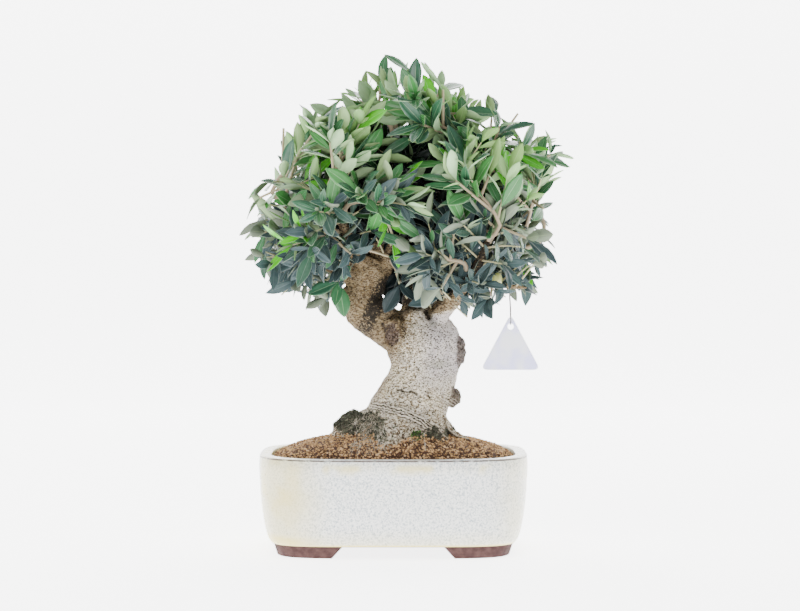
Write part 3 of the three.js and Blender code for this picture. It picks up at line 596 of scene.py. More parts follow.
def attribute(tree, name):
    return node(tree, "ShaderNodeAttribute", attribute_name=name).outputs["Fac"]


def grain(where, scale, detail=3.0, rough=0.55):
    """Cloudy noise whose features are about 1 / scale millimetres across."""
    values = {"Vector": where, "Scale": scale, "Detail": detail, "Roughness": rough}
    return node(home(where), "ShaderNodeTexNoise", values).outputs["Fac"]


def cells(where, scale, feature="F1", output="Distance"):
    values = {"Vector": where, "Scale": scale}
    return node(home(where), "ShaderNodeTexVoronoi", values, feature=feature).outputs[output]


def between(value, low, high, to_low=0.0, to_high=1.0):
    """A smooth step from low to high."""
    values = {0: value, 1: low, 2: high, 3: to_low, 4: to_high}
    return node(home(value), "ShaderNodeMapRange", values, interpolation_type="SMOOTHSTEP").outputs[0]


def blended(factor, first, second):
    """One colour over another."""
    inputs = {0: factor, 6: first, 7: second}
    return node(home(factor, first, second), "ShaderNodeMix", inputs, data_type="RGBA").outputs[2]


def bumped(shader, height, distance_mm, strength=1.0):
    """Lets a height in millimetres tilt the surface."""
    tree = shader.id_data
    values = {"Height": height, "Distance": distance_mm * MM, "Strength": strength}
    tree.links.new(node(tree, "ShaderNodeBump", values).outputs[0], shader.inputs["Normal"])


def paint(shader, base, roughness=None):
    shader.id_data.links.new(base, shader.inputs["Base Color"])
    if roughness is not None:
        shader.id_data.links.new(roughness, shader.inputs["Roughness"])


def glaze_material(look):
    material, tree, shader, where = surface(
        "cream_glaze", Specular_IOR_Level=0.5, Coat_Weight=0.25, Coat_Roughness=0.12
    )
    x, _, z = node(tree, "ShaderNodeSeparateXYZ", {0: where}).outputs
    fine = between(grain(where, 0.62, 5, 0.8), 0.46, 0.6)
    net = between(cells(where, 0.34, "DISTANCE_TO_EDGE"), 0.0, 0.05, 1, 0)
    clouds = grain(where, 0.03, 2)
    marks = fused(net, 0.2, times(fine, 0.85), clamp=True)
    base = blended(marks, look.glaze, look.mottle)
    low = between(z, 7.5, 24, 1, 0)
    edge = between(z, 6.6, 9, 1, 0)
    left = times(between(x, -44, -94), between(x, -111, -106))
    right = times(between(x, 72, 106), 0.42)
    under_rim = times(between(z, 62, 70), between(z, 70, 75, 1, 0.2))
    sides = most(left, right)
    patchy = between(clouds, 0.36, 0.62)
    climb = times(sides, fused(patchy, 0.4, 0.55))
    corner = times(fused(left, 0.9, 0.3), low)
    ochre = between(grain(where, 0.045, 2), 0.5, 0.66, 0.1, 0.7)
    rim = times(under_rim, ochre)
    stain = most(most(climb, corner), most(rim, edge))
    base = blended(times(stain, look.stains, clamp=True), base, look.stain)
    band = maths("COMPARE", z, RIM_LINE, 0.55)
    broken = between(grain(where, 0.12, 3), 0.34, 0.5, 0.35, 1)
    line = times(times(band, attribute(tree, "outer")), broken)
    base = blended(times(line, 0.95), base, look.line)
    paint(shader, base, between(grain(where, 0.2, 2), 0.2, 0.8, 0.24, 0.4))
    relief = fused(fine, 0.25, grain(where, 0.11, 2))
    bumped(shader, relief, 0.25, 0.6)
    return material


def clay_material(look):
    material, _, shader, where = surface("bare_clay", Specular_IOR_Level=0.1)
    patches = between(grain(where, 0.18, 4), 0.3, 0.7)
    specks = between(grain(where, 1.3, 3), 0.55, 0.72)
    base = blended(times(patches, 0.5), look.clay, (0.12, 0.065, 0.058, 1))
    base = blended(times(specks, 0.45), base, (0.03, 0.018, 0.02, 1))
    paint(shader, base, between(specks, 0, 1, 0.72, 0.9))
    bumped(shader, grain(where, 1.1, 4, 0.65), 0.3)
    return material


def soil_material(look, name, shade):
    """Fired clay granules, each with its own tone. Shade darkens what lies between them."""
    material, tree, shader, where = surface(name, Roughness=0.95, Specular_IOR_Level=0.2)
    tone = attribute(tree, "tone")
    mottled = fused(grain(where, 1.4, 4, 0.65), 0.7, times(tone, 0.75))
    base = blended(between(mottled, 0.28, 1.0), look.dark, look.light)
    pale = times(between(tone, 0.88, 0.94), 0.7)
    base = blended(pale, base, (0.66, 0.47, 0.30, 1))
    base = blended(times(between(tone, 0.09, 0.04), 0.8), base, (0.05, 0.03, 0.022, 1))
    paint(shader, blended(shade, base, (0.05, 0.02, 0.01, 1)))
    bumped(shader, grain(where, 2.2, 4, 0.7), 0.45)
    return material


def bark_material(look):
    material, tree, shader, where = surface("olive_bark", Specular_IOR_Level=0.2)
    flat = place_mm(tree, (1, 1, 1.8))
    broad = grain(where, 0.07, 3)
    fine = grain(where, 0.55, 5, 0.7)
    grey, tan, low = (attribute(tree, name) for name in ("grey", "tan", "low"))
    base = blended(between(broad, 0.35, 0.65), look.pale, look.cream)
    cool = times(grey, between(broad, 0.25, 0.6, 0.5, 1))
    base = blended(cool, base, look.grey)
    bleached = times(between(fine, 0.5, 0.7, 0, 0.6), fused(grey, -0.8, 1))
    base = blended(bleached, base, (0.82, 0.77, 0.66, 1))
    blotches = between(grain(flat, 0.42, 5, 0.75), 0.505, 0.56)
    # Older bark and painted shade: the blotches gather where the tan mark is.
    aged_and_shaded = fused(most(tan, low), 0.15, 0.85)
    warm = times(fused(grey, -0.8, 1), aged_and_shaded)
    base = blended(times(blotches, warm, clamp=True), base, look.tan)
    # Broad tan patches: the bark's older tan, with painted shade down the left flank and on the shoulder under
    # the limb.
    tan_edge = fused(fine, 1.2, plus(tan, -0.6))
    base = blended(between(tan_edge, 0.15, 0.85, 0, 0.62), base, (0.33, 0.255, 0.14, 1))
    base = blended(between(tan_edge, 0.56, 0.75, 0, 0.7), base, look.tan)
    lichen_edge = fused(fine, 0.9, plus(attribute(tree, "lichen"), -0.5))
    base = blended(between(lichen_edge, 0.3, 0.9, 0, 0.4), base, look.lichen)
    spoke = node(
        tree, "ShaderNodeCombineXYZ", {0: attribute(tree, "spoke"), 1: grain(where, 0.12, 1)}
    ).outputs[0]
    streaks = grain(spoke, 9.0, 4, 0.6)
    bare = blended(between(streaks, 0.44, 0.54), look.bare, look.pores)
    patchy = fused(fine, 4.0, -1.0)
    bare_edge = times(attribute(tree, "bare"), patchy)
    base = blended(between(bare_edge, 0.15, 0.4), base, bare)
    lines = times(attribute(tree, "fan"), between(streaks, 0.5, 0.58, 0, 0.9))
    base = blended(lines, base, look.pores)
    keep = between(cells(flat, 0.46, output="Color"), 0.38, 0.42)
    spots = times(between(cells(flat, 0.46), 0.3, 0.42, 1, 0), keep)
    dots = between(cells(flat, 0.62), 0.22, 0.36, 0.92, 0)
    coarse = between(grain(flat, 0.3, 4, 0.7), 0.53, 0.56, 0, 0.92)
    coarse = times(coarse, fused(most(tan, low), 0.5, 0.5))
    base = blended(times(coarse, warm), base, (0.06, 0.036, 0.016, 1))
    pores = most(spots, dots)
    base = blended(times(pores, 0.88), base, look.pores)
    knotty = blended(between(fine, 0.46, 0.64), look.pores, look.bare)
    base = blended(times(attribute(tree, "burl"), 0.85), base, knotty)
    # Painted shade, with some dark lichen, along the crotch and on the trunk's top under the crown.
    crotch_shade_edge = times(attribute(tree, "dark"), patchy)
    base = blended(between(crotch_shade_edge, 0.32, 0.62, 0, 0.95), base, (0.010, 0.008, 0.006, 1))
    wave = maths("COSINE", times(attribute(tree, "fold"), 2 * pi))
    folded = attribute(tree, "folded")
    # Painted highlight on the fold ridges and painted shade in their grooves.
    groove = times(between(wave, -0.1, -0.9), folded)
    ridge_highlight = times(between(wave, 0.2, 0.9), folded)
    base = blended(times(ridge_highlight, 0.75), base, (0.78, 0.70, 0.58, 1))
    base = blended(times(groove, between(fine, 0.35, 0.5)), base, look.pores)
    # The bark darkens to near black under the moss.
    under_moss = times(most(attribute(tree, "open"), attribute(tree, "live")), patchy)
    base = blended(between(under_moss, 0.35, 0.8, 0, 0.9), base, (0.03, 0.028, 0.018, 1))
    # Painted shade: the cracks go near black in their depth.
    split = fused(fine, 2.2, attribute(tree, "crack"))
    crack = between(split, 1.5, 2.7, 1, 0)
    base = blended(times(crack, 0.92), base, (0.02, 0.014, 0.01, 1))
    paint(shader, base, between(fine, 0.3, 0.7, 0.72, 0.92))
    height = fused(most(pores, groove), -0.9, times(fine, 1.4))
    bumped(shader, height, 0.9, 1.0)
    return material


def leaf_material(look):
    """One material for both faces: the side attribute is 1 on the upper face and 0 on the under one."""
    material, tree, shader, where = surface("olive_leaf")
    along_it, across_it, side, tone, lift, young, inner = (
        attribute(tree, name) for name in ("along", "across", "side", "tone", "lift", "young", "inner")
    )
    off_middle = maths("ABSOLUTE", across_it)
    fleck = grain(where, 0.22, 3)
    grown = blended(between(tone, 0.35, 0.9), look.dark, look.fresh)
    # Painted shade: leaves low down and inside the crown turn from green to slate blue.
    high = between(fused(tone, 0.5, lift), 0.42, 0.85)
    upper = blended(high, look.slate, grown)
    upper = blended(times(fleck, 0.1), upper, look.under)
    upper = blended(young, upper, look.young)
    margin = times(between(off_middle, 0.84, 0.99), between(lift, 0.2, 0.7, 0.5, 0.12))
    pale = blended(high, (0.17, 0.21, 0.22, 1), look.under)
    upper = blended(margin, upper, pale)
    rib_width = fused(along_it, -0.06, 0.11)
    rib = node(tree, "ShaderNodeMapRange", {0: off_middle, 1: 0.0, 2: rib_width, 3: 1.0, 4: 0.0}).outputs[0]
    upper = blended(times(rib, 0.4), upper, pale)
    under = blended(between(tone, 0.1, 0.9), look.under, (0.20, 0.30, 0.13, 1))
    # Painted shade darkens the undersides of the leaves low down and inside the crown.
    under = blended(between(lift, 0.85, 0.2), under, (0.17, 0.20, 0.15, 1))
    under = blended(times(young, 0.55), under, (0.12, 0.26, 0.05, 1))
    under = blended(times(rib, 0.4), under, (0.36, 0.46, 0.24, 1))
    base = blended(side, under, upper)
    # Painted shade: leaves deep inside the crown go near black.
    base = blended(times(inner, 0.9), base, (0.003, 0.005, 0.006, 1))
    paint(shader, base, between(side, 0, 1, 0.7, 0.25))
    shine = times(side, between(lift, 0.1, 0.7, 0.14, 0.38))
    tree.links.new(shine, shader.inputs["Specular IOR Level"])
    slant = fused(off_middle, -2.2, times(along_it, 15.0))
    veins = maths("SINE", times(slant, 2 * pi))
    bumped(shader, fused(veins, 0.25, rib), 0.14, 0.7)
    return material


def twig_material(look):
    material, tree, shader, where = surface("young_bark", Roughness=0.75, Specular_IOR_Level=0.3)
    green = times(attribute(tree, "youth"), 0.6)
    base = blended(between(grain(where, 0.5, 3), 0.35, 0.65), look.twig, (0.31, 0.25, 0.17, 1))
    base = blended(green, base, (0.36, 0.40, 0.20, 1))
    dots = between(cells(where, 0.7), 0.12, 0.25, 0.5, 0)
    paint(shader, blended(dots, base, (0.13, 0.09, 0.06, 1)))
    bumped(shader, grain(where, 0.9, 3), 0.3)
    return material


def olive_material(look):
    material, tree, shader, where = surface(
        "olive_skin", Specular_IOR_Level=0.5, Coat_Weight=0.2, Coat_Roughness=0.2
    )
    clouds = between(grain(where, 0.16, 2), 0.35, 0.7)
    base = blended(times(clouds, 0.5), look.fruit, (0.36, 0.38, 0.14, 1))
    freckles = between(cells(where, 0.9), 0.1, 0.2, 0.6, 0)
    base = blended(freckles, base, (0.55, 0.57, 0.34, 1))
    base = blended(attribute(tree, "stalk"), base, (0.42, 0.27, 0.20, 1))
    paint(shader, base, between(clouds, 0, 1, 0.3, 0.42))
    bumped(shader, grain(where, 0.7, 3), 0.12, 0.5)
    return material


def moss_material(name, deep, tip):
    material, tree, shader, where = surface(name, Roughness=0.95, Specular_IOR_Level=0.15)
    clumps = between(grain(where, 0.35, 3), 0.35, 0.65)
    tone = times(attribute(tree, "tone"), clumps)
    base = blended(tone, (*deep, 1), (*tip, 1))
    paint(shader, base)
    bumped(shader, grain(where, 1.5, 3), 0.6)
    return material


def root_material():
    material, tree, shader, where = surface("fine_root", Roughness=0.85, Specular_IOR_Level=0.25)
    tone = attribute(tree, "tone")
    base = blended(tone, (0.24, 0.19, 0.13, 1), (0.66, 0.60, 0.50, 1))
    base = blended(between(grain(where, 0.6, 3), 0.5, 0.7, 0, 0.5), base, (0.13, 0.09, 0.06, 1))
    paint(shader, base)
    bumped(shader, grain(where, 1.2, 3), 0.3)
    return material


def tag_material(look):
    values = {"IOR": 1.49, "Transmission Weight": 0.22, "Specular IOR Level": 0.5}
    material, _, shader, where = surface("frosted_plastic", **values)
    haze = grain(where, 0.05, 2)
    base = blended(between(haze, 0.35, 0.65), look.plastic, (0.78, 0.79, 0.86, 1))
    paint(shader, base, between(grain(where, 0.4, 3), 0.3, 0.7, 0.3, 0.42))
    bumped(shader, grain(where, 0.35, 2), 0.06, 0.5)
    return material


def string_material(look):
    material, tree, shader, where = surface("waxed_string", Roughness=0.7, Specular_IOR_Level=0.3)
    groove = attribute(tree, "groove")
    fibre = grain(where, 2.5, 3)
    # Painted shade darkens the grooves between the plies.
    base = blended(times(groove, 0.8), look.string, (0.02, 0.016, 0.014, 1))
    paint(shader, blended(between(fibre, 0.5, 0.8, 0, 0.4), base, (0.25, 0.22, 0.2, 1)))
    bumped(shader, fibre, 0.08)
    return material


def screen_material():
    material, _, shader, where = surface("black_mesh", Specular_IOR_Level=0.4)
    dust = between(grain(where, 0.3, 4), 0.45, 0.7)
    base = blended(times(dust, 0.5), (0.02, 0.021, 0.02, 1), (0.2, 0.11, 0.06, 1))
    paint(shader, base, between(dust, 0, 1, 0.45, 0.8))
    return material


def paper_material(look):
    values = {"Emission_Color": (1, 1, 1, 1), "Emission_Strength": look.glow}
    material, _, shader, where = surface("pale_paper", Roughness=0.9, Specular_IOR_Level=0.1, **values)
    tint = times(grain(where, 0.01, 2), 0.03)
    paint(shader, blended(tint, look.paper, (0.8, 0.8, 0.8, 1)))
    return material


# ---------------------------------------------------------------- the tag and its string


def smooth_line(points, per_step=10):
    """A smooth curve through points that gives each stretch its own time, so that it never loops."""
    ends = [added(scaled(points[0], 2), points[1], -1), *points, added(scaled(points[-1], 2), points[-2], -1)]
    found = []
    for a, b, c, d in zip(ends, ends[1:], ends[2:], ends[3:]):
        t0 = 0
        t1 = t0 + math.sqrt(apart(a, b))
        t2 = t1 + math.sqrt(apart(b, c))
        t3 = t2 + math.sqrt(apart(c, d))
        for k in range(per_step):
            t = t1 + (t2 - t1) * k / per_step
            ab = mixed(a, b, (t - t0) / (t1 - t0))
            bc = mixed(b, c, (t - t1) / (t2 - t1))
            cd = mixed(c, d, (t - t2) / (t3 - t2))
            abc = mixed(ab, bc, (t - t0) / (t2 - t0))
            bcd = mixed(bc, cd, (t - t1) / (t3 - t1))
            found.append(mixed(abc, bcd, (t - t1) / (t2 - t1)))
    return [*found, points[-1]]


def mixed(a, b, share):
    return tuple(mix(p, q, share) for p, q in zip(a, b))


def twisted_string(name, line, diameter):
    """Three thin plies laid round each other along a line, with the depth between them kept as groove."""
    plies, sides, lay = 3, 12, 2.6
    axis = unit(less(line[1], line[0]))
    across = sideways(axis, 0)
    rings, groove, run = [], [], 0
    for k, at in enumerate(line):
        axis = unit(less(line[min(k + 1, len(line) - 1)], line[max(k - 1, 0)]))
        across = squared(across, axis)
        other = cross(axis, across)
        run += apart(at, line[k - 1]) if k else 0
        ring = []
        for i in range(sides):
            turn = 2 * pi * i / sides
            wave = cos(plies * turn - 2 * pi * run / lay)
            radius = diameter / MM / 2 * (0.9 + 0.1 * wave)
            ring.append(beside(at, across, other, radius, turn))
            groove.append(max(0.0, -wave))
        rings.append(ring)
    made = mesh_object(name, *skin(rings))
    store(made.data, "groove", groove)
    return made


def knot_line():
    """A small overhand knot on top of the twig, with two short ends."""
    x, y, z = mixed(STRING_PATH[0], STRING_PATH[-1], 0.5)
    turns = []
    for k in range(13):
        a = 2 * pi * k / 12
        over = x + 1.25 * sin(a) + 0.25 * sin(2 * a)
        turns.append((over, y + 0.9 * cos(2 * a), z + 0.75 + 0.3 * k / 12))
    first = (x + 3.4, y - 1.6, z + 0.2)
    last = (x - 2.9, y + 1.2, z + 2.4)
    return smooth_line([first, (x + 1.8, y - 0.6, z + 0.6), *turns[1:-1], (x - 1.4, y + 0.8, z + 1.5), last], 6)


def rounded_corners(corners, reach):
    """A closed outline whose corners are drawn in along short curves."""
    outline = []
    for i, corner in enumerate(corners):
        before, after = corners[i - 1], corners[(i + 1) % len(corners)]
        near = mixed(corner, before, reach / math.dist(corner, before))
        far = mixed(corner, after, reach / math.dist(corner, after))
        for k in range(9):
            t = k / 8
            outline.append(mixed(mixed(near, corner, t), mixed(corner, far, t), t))
    return outline


def tag_plate():
    """A thin triangle with rounded corners, a hole near its top and softened edges."""
    corners = [(0, 0), (-TAG_WIDTH / 2, -TAG_HEIGHT), (TAG_WIDTH / 2, -TAG_HEIGHT)]
    hole = [(TAG_HOLE * cos(pi * k / 16), TAG_HOLE * sin(pi * k / 16) - TAG_HOLE_DROP) for k in range(32)]
    curve = bpy.data.curves.new("tag_outline", "CURVE")
    curve.dimensions = "2D"
    curve.fill_mode = "BOTH"
    edge = 0.16
    curve.extrude = (TAG_THICKNESS / 2 - edge) * MM
    curve.bevel_depth = edge * MM
    curve.bevel_resolution = 2
    curve.offset = -edge * MM
    for outline in (rounded_corners(corners, TAG_CORNER * 1.5), hole):
        spline = curve.splines.new("POLY")
        spline.points.add(len(outline) - 1)
        for point, (x, z) in zip(spline.points, outline):
            point.co = (x * MM, z * MM, 0, 1)
        spline.use_cyclic_u = True
    flat = in_scene("tag_outline", curve)
    graph = bpy.context.evaluated_depsgraph_get()
    mesh = bpy.data.meshes.new_from_object(flat.evaluated_get(graph), depsgraph=graph)
    bpy.data.objects.remove(flat)
    at = placed([(TAG_X, TAG_Y, TAG_TOP)])[0]
    mesh.transform(Matrix.Translation(Vector(at)) @ Matrix.Rotation(pi / 2, 4, "X"))
    return in_scene("tag_plate", mesh)


class BONSAI_OT_tag(bpy.types.Operator):
    """Hangs the bare tag from its twig on a thin knotted string"""

    bl_idname = "bonsai.tag"
    bl_label = "Tag and string"

    def execute(self, context):
        look = context.scene.bonsai_tag
        cord = string_material(look)
        plate = finished(tag_plate(), tag_material(look), "tag", ["tag"], smooth=False)
        knot = twisted_string("string_knot", knot_line(), look.diameter)
        finished(knot, cord, "string")
        line = smooth_line(STRING_PATH)
        string = twisted_string("string_loop", line, look.diameter)
        finished(string, cord, "string", ["tag_string"])
        path = placed(line)
        return {"FINISHED"}


# ---------------------------------------------------------------- the pot


def oblong(z, inset, square):
    """The pot's outline at a height, an ellipse with its corners filled out, in even steps."""
    turn = np.linspace(0, 2 * np.pi, 2881)
    x, y = (
        np.sign(v) * np.abs(v) ** (2 / square) * (half - inset)
        for v, half in ((np.cos(turn), POT_HALF[0]), (np.sin(turn), POT_HALF[1]))
    )
    run = np.concatenate(([0], np.cumsum(np.hypot(np.diff(x), np.diff(y)))))
    even = np.arange(POT_POINTS) / POT_POINTS * run[-1]
    return [(a, b, z) for a, b in zip(np.interp(even, run, x), np.interp(even, run, y))]


def pot_levels():
    """The pot's section from its base up the outside, over the rim and down inside, as heights and insets."""
    outside = [along(POT_OUTSIDE[:-1], k / 26) for k in range(27)]
    outer, inner = POT_OUTSIDE[-1], along(POT_INSIDE[2:], 0.5)
    r = RIM_ROUND
    turns = [pi / 2 * k / 5 for k in range(6)]
    rim = [(RIM_TOP - r + r * sin(a), outer[1] - 0.4 + r - r * cos(a), outer[2]) for a in turns[1:]]
    rim += [(RIM_TOP - r + r * cos(a), inner[1] - r + r * sin(a), inner[2]) for a in turns]
    walls = list(reversed(POT_INSIDE[:3]))
    inside = [along(walls, k / 10) for k in range(11)]
    return outside[:-1], rim, inside


def cut_away(made, cutter):
    """Takes one closed mesh from another."""
    modifier = made.modifiers.new("cut", "BOOLEAN")
    modifier.operation = "DIFFERENCE"
    modifier.solver = "EXACT"
    modifier.object = cutter
    baked(made)
    bpy.data.objects.remove(cutter)
    return made


def pot_wall():
    outside, rim, inside = pot_levels()
    levels = [*outside, *rim, *inside]
    made = mesh_object("pot_glazed", *skin([oblong(*level) for level in levels]))
    facing = [1.0 if k < len(outside) + 2 else 0.0 for k in range(len(levels)) for _ in range(POT_POINTS)]
    store(made.data, "outer", facing)
    for x in (-DRAIN_X, DRAIN_X):
        line = [(x, 0, 0, DRAIN_RADIUS), (x, 0, 22, DRAIN_RADIUS)]
        cut_away(made, mesh_object("drain", *tube(line, 40)))
    return made


def foot_skirt(inset, taper, low, high):
    return mesh_object(
        "skirt", *skin([oblong(low, inset + taper, FOOT_SQUARE), oblong(high, inset, FOOT_SQUARE)])
    )


def foot_gap(half, reach, along_x):
    """A bar with slanting sides that cuts the space between two feet."""
    low, high = half[0] + 1, half[1]
    foot, top = FLOOR - 1, FOOT_TOP - 0.01
    profile = [(-low, foot), (low, foot), (high, top), (high, 14), (-high, 14), (-high, top)]
    if along_x:
        rings = [[(side, w, z) for w, z in profile] for side in (-reach, reach)]
    else:
        rings = [[(w, side, z) for w, z in profile] for side in (reach, -reach)]
    return mesh_object("gap", *skin(rings))


def pot_feet():
    made = foot_skirt(FOOT_INSET, FOOT_TAPER, FLOOR, FOOT_TOP)
    made.name = "pot_feet"
    cut_away(made, foot_skirt(FOOT_INSET + FOOT_WIDTH, 0, FLOOR - 1, FOOT_TOP + 1))
    cut_away(made, foot_gap(FOOT_GAP_X, 100, False))
    cut_away(made, foot_gap(FOOT_GAP_Y, 130, True))
    bevel = made.modifiers.new("soft edges", "BEVEL")
    bevel.width = 0.9 * MM
    bevel.segments = 3
    bevel.limit_method = "ANGLE"
    bevel.angle_limit = math.radians(40)
    return baked(made)


class BONSAI_OT_pot(bpy.types.Operator):
    """Makes the glazed pot with its drain holes, and its four bare clay feet"""

    bl_idname = "bonsai.pot"
    bl_label = "Pot"

    def execute(self, context):
        look = context.scene.bonsai_pot
        clay = clay_material(look)
        pot = finished(pot_wall(), glaze_material(look), "glaze", ["pot"])
        pot.data.materials.append(clay)
        for face in pot.data.polygons:
            if face.center.z < ORIGIN[2] + (FOOT_TOP + 0.3) * MM:
                face.material_index = 1
        finished(pot_feet(), clay, "glaze")
        return {"FINISHED"}


class BONSAI_OT_screens(bpy.types.Operator):
    """Gives the two drain screens their dusty black plastic"""

    bl_idname = "bonsai.screens"
    bl_label = "Drain screens"

    def execute(self, context):
        plastic = screen_material()
        for side in ("left", "right"):
            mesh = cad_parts["drain_screen_" + side].data
            mesh.materials.clear()
            mesh.materials.append(plastic)
        return {"FINISHED"}


# ---------------------------------------------------------------- the soil


def soil_height(x, y):
    """Level near the rim, then a broad low mound that the trunk stands on."""
    _, inset, square = POT_INSIDE[2]
    out = (abs(x) / (POT_HALF[0] - inset)) ** square + (abs(y) / (POT_HALF[1] - inset)) ** square
    heap = SOIL_HEAP * math.exp(-(x * x + y * y) / SOIL_HEAP_SIZE**2)
    return SOIL_EDGE + SOIL_RISE * (1 - out ** (SOIL_STEEPNESS / square)) + heap


def soil_bed():
    """A closed bed that fills the pot, with a slightly uneven top. The open attribute marks that top."""
    rings = [oblong(z + (GAP if z < 20 else 0), inset + GAP, square) for z, inset, square in POT_INSIDE[:3]]
    edge = rings[-1]
    steps = 40
    for r in range(1, steps):
        share = 1 - r / steps
        ring = []
        for x, y, _ in edge:
            at = (x * share, y * share)
            lumps = noise.noise(Vector((at[0] / 9, at[1] / 9, 3))) * 1.1
            ring.append((*at, soil_height(*at) + lumps * min(1, 4 * r / steps) - 0.8))
        rings.append(ring)
    made = mesh_object("soil_bed", *skin(rings))
    top = [0.0 if k < 3 else 1.0 for k in range(len(rings)) for _ in range(POT_POINTS)]
    store(made.data, "open", top)
    return made


def crumb(name, seed):
    """An angular lump of twenty faces, about one across."""
    noise.seed_set(SEED + seed)  # without a seed of its own, noise_vector goes by the clock
    ball = bmesh.new()
    bmesh.ops.create_icosphere(ball, subdivisions=1, radius=0.5)
    for p in ball.verts:
        away = p.co * 5.1 + Vector((seed * 5.3, seed * 2.7, seed))
        p.co = p.co * (1 + 0.3 * noise.noise(away)) + 0.09 * noise.noise_vector(away)
    mesh = bpy.data.meshes.new(name)
    ball.to_mesh(mesh)
    ball.free()
    return in_scene(name, mesh)


def scatter_tree(kinds):
    """Strews shapes over a bed where a named attribute allows, each with its own size, turn and tone."""
    sockets = {"Spacing": "Float", "Smallest": "Float", "Largest": "Float", "Sunk": "Float", "Seed": "Int"}
    sockets |= {"Material": "Material", "Where": "String"}
    sockets |= numbered(["Object"] * kinds)
    tree, given, out = geometry_tree("scattered_granules", sockets)
    values = {"Mesh": given["Geometry"], "Distance Min": given["Spacing"], "Density Max": 1500000.0}
    values |= {"Density Factor": named(tree, given["Where"]), "Seed": given["Seed"]}
    spots = node(tree, "GeometryNodeDistributePointsOnFaces", values, distribute_method="POISSON")
    size = chance(tree, "FLOAT", given["Smallest"], given["Largest"], 3)
    stretch = chance(tree, "FLOAT_VECTOR", (0.8, 0.8, 0.75), (1.2, 1.2, 1.05), 4)
    values = {"Points": spots.outputs["Points"], "Instance": choice(tree, given, kinds), "Pick Instance": True}
    values |= {
        "Instance Index": chance(tree, "INT", 0, kinds - 1, 6),
        "Rotation": chance(tree, "FLOAT_VECTOR", (-0.5, -0.5, 0), (0.5, 0.5, 6.283), 5),
        "Scale": node(tree, "ShaderNodeVectorMath", {0: stretch, "Scale": size}, operation="SCALE").outputs[0],
    }
    grown = node(tree, "GeometryNodeInstanceOnPoints", values)
    values = {"Geometry": grown.outputs[0], "Name": "tone", "Value": chance(tree, "FLOAT", 0.0, 1.0, 7)}
    toned = node(tree, "GeometryNodeStoreNamedAttribute", values, domain="INSTANCE", data_type="FLOAT")
    settle = times(chance(tree, "FLOAT", -1.0, 0.35, 8), given["Sunk"])
    down = node(tree, "ShaderNodeCombineXYZ", {"Z": settle}).outputs[0]
    values = {"Instances": toned.outputs[0], "Translation": down, "Local Space": False}
    settled = node(tree, "GeometryNodeTranslateInstances", values).outputs[0]
    tree.links.new(clad(tree, realized(tree, settled), given["Material"]), out["Geometry"])
    return tree


def strewn(name, bed, tree, shapes, slot, **inputs):
    """A new piece with shapes strewn over a bed."""
    made = with_nodes(in_scene(name, bed.data.copy()), tree, **inputs, **numbered(shapes))
    return finished(made, None, slot, smooth=False)


class BONSAI_OT_soil(bpy.types.Operator):
    """Fills the pot with a bed of fired clay granules"""

    bl_idname = "bonsai.soil"
    bl_label = "Soil"

    def execute(self, context):
        look = context.scene.bonsai_soil
        bed = soil_bed()
        shapes = [crumb(f"crumb_{k}", k) for k in range(4)]
        loose = soil_material(look, "clay_granules", 0.0)
        tree = scatter_tree(len(shapes))
        given = {"Spacing": look.spacing, "Smallest": look.smallest, "Largest": look.largest, "Material": loose}
        bark = bpy.data.objects["trunk_bark"]
        for name, bed_or_bark, sunk, seed, allowed in (
            ("soil_granules", bed, 0.9, look.seed, "open"),
            ("soil_on_roots", bark, 0.4, look.seed + 1, "dusty"),
        ):
            given |= {"Sunk": sunk * MM, "Seed": seed, "Where": allowed}
            strewn(name, bed_or_bark, tree, shapes, "soil", **given)
        finished(bed, soil_material(look, "packed_clay", 0.5), "soil", ["soil"])
        removed(shapes)
        return {"FINISHED"}


# ---------------------------------------------------------------- seeded numbers and curves


def dice(seed):
    """A stream of numbers from 0 to 1 that is the same for the same seed."""
    state = seed & WORD

    def roll():
        nonlocal state
        state = (state + 0x6D2B79F5) & WORD
        t = ((state ^ (state >> 15)) * (1 | state)) & WORD
        t = ((t + (t ^ (t >> 7)) * (61 | t)) & WORD) ^ t
        return (t ^ (t >> 14)) / 4294967296

    return roll


def mix(low, high, share):
    return low + (high - low) * share


def added(a, b, by=1.0):
    return (a[0] + b[0] * by, a[1] + b[1] * by, a[2] + b[2] * by)


def less(a, b):
    return (a[0] - b[0], a[1] - b[1], a[2] - b[2])


def scaled(a, by):
    return (a[0] * by, a[1] * by, a[2] * by)


def dot(a, b):
    return a[0] * b[0] + a[1] * b[1] + a[2] * b[2]


def cross(a, b):
    return (a[1] * b[2] - a[2] * b[1], a[2] * b[0] - a[0] * b[2], a[0] * b[1] - a[1] * b[0])


def unit(a):
    return scaled(a, 1 / (math.sqrt(dot(a, a)) or 1))


def squared(a, axis):
    """The unit vector nearest to a that is square to the axis."""
    return unit(added(a, axis, -dot(a, axis)))


def beside(at, across, other, away, turn):
    """A place at some distance from another, in the plane of two vectors."""
    return added(added(at, across, away * cos(turn)), other, away * sin(turn))


def clamped(value, low=0, high=1):
    return min(max(value, low), high)


def apart(a, b):
    return math.sqrt(dot(less(a, b), less(a, b)))


def along(path, t):
    """A place on the smooth curve through control points, read at share t of its length."""
    s = clamped(t) * (len(path) - 1)
    i = min(math.floor(s), len(path) - 2)
    f = s - i
    a, b, c, d = (path[clamped(k, 0, len(path) - 1)] for k in (i - 1, i, i + 1, i + 2))
    return tuple(
        0.5
        * (
            2 * b[k]
            + (c[k] - a[k]) * f
            + (2 * a[k] - 5 * b[k] + 4 * c[k] - d[k]) * f * f
            + (3 * b[k] - a[k] - 3 * c[k] + d[k]) * f * f * f
        )
        for k in range(len(b))
    )


def stations(path, steps):
    return [along(path, k / steps) for k in range(steps + 1)]


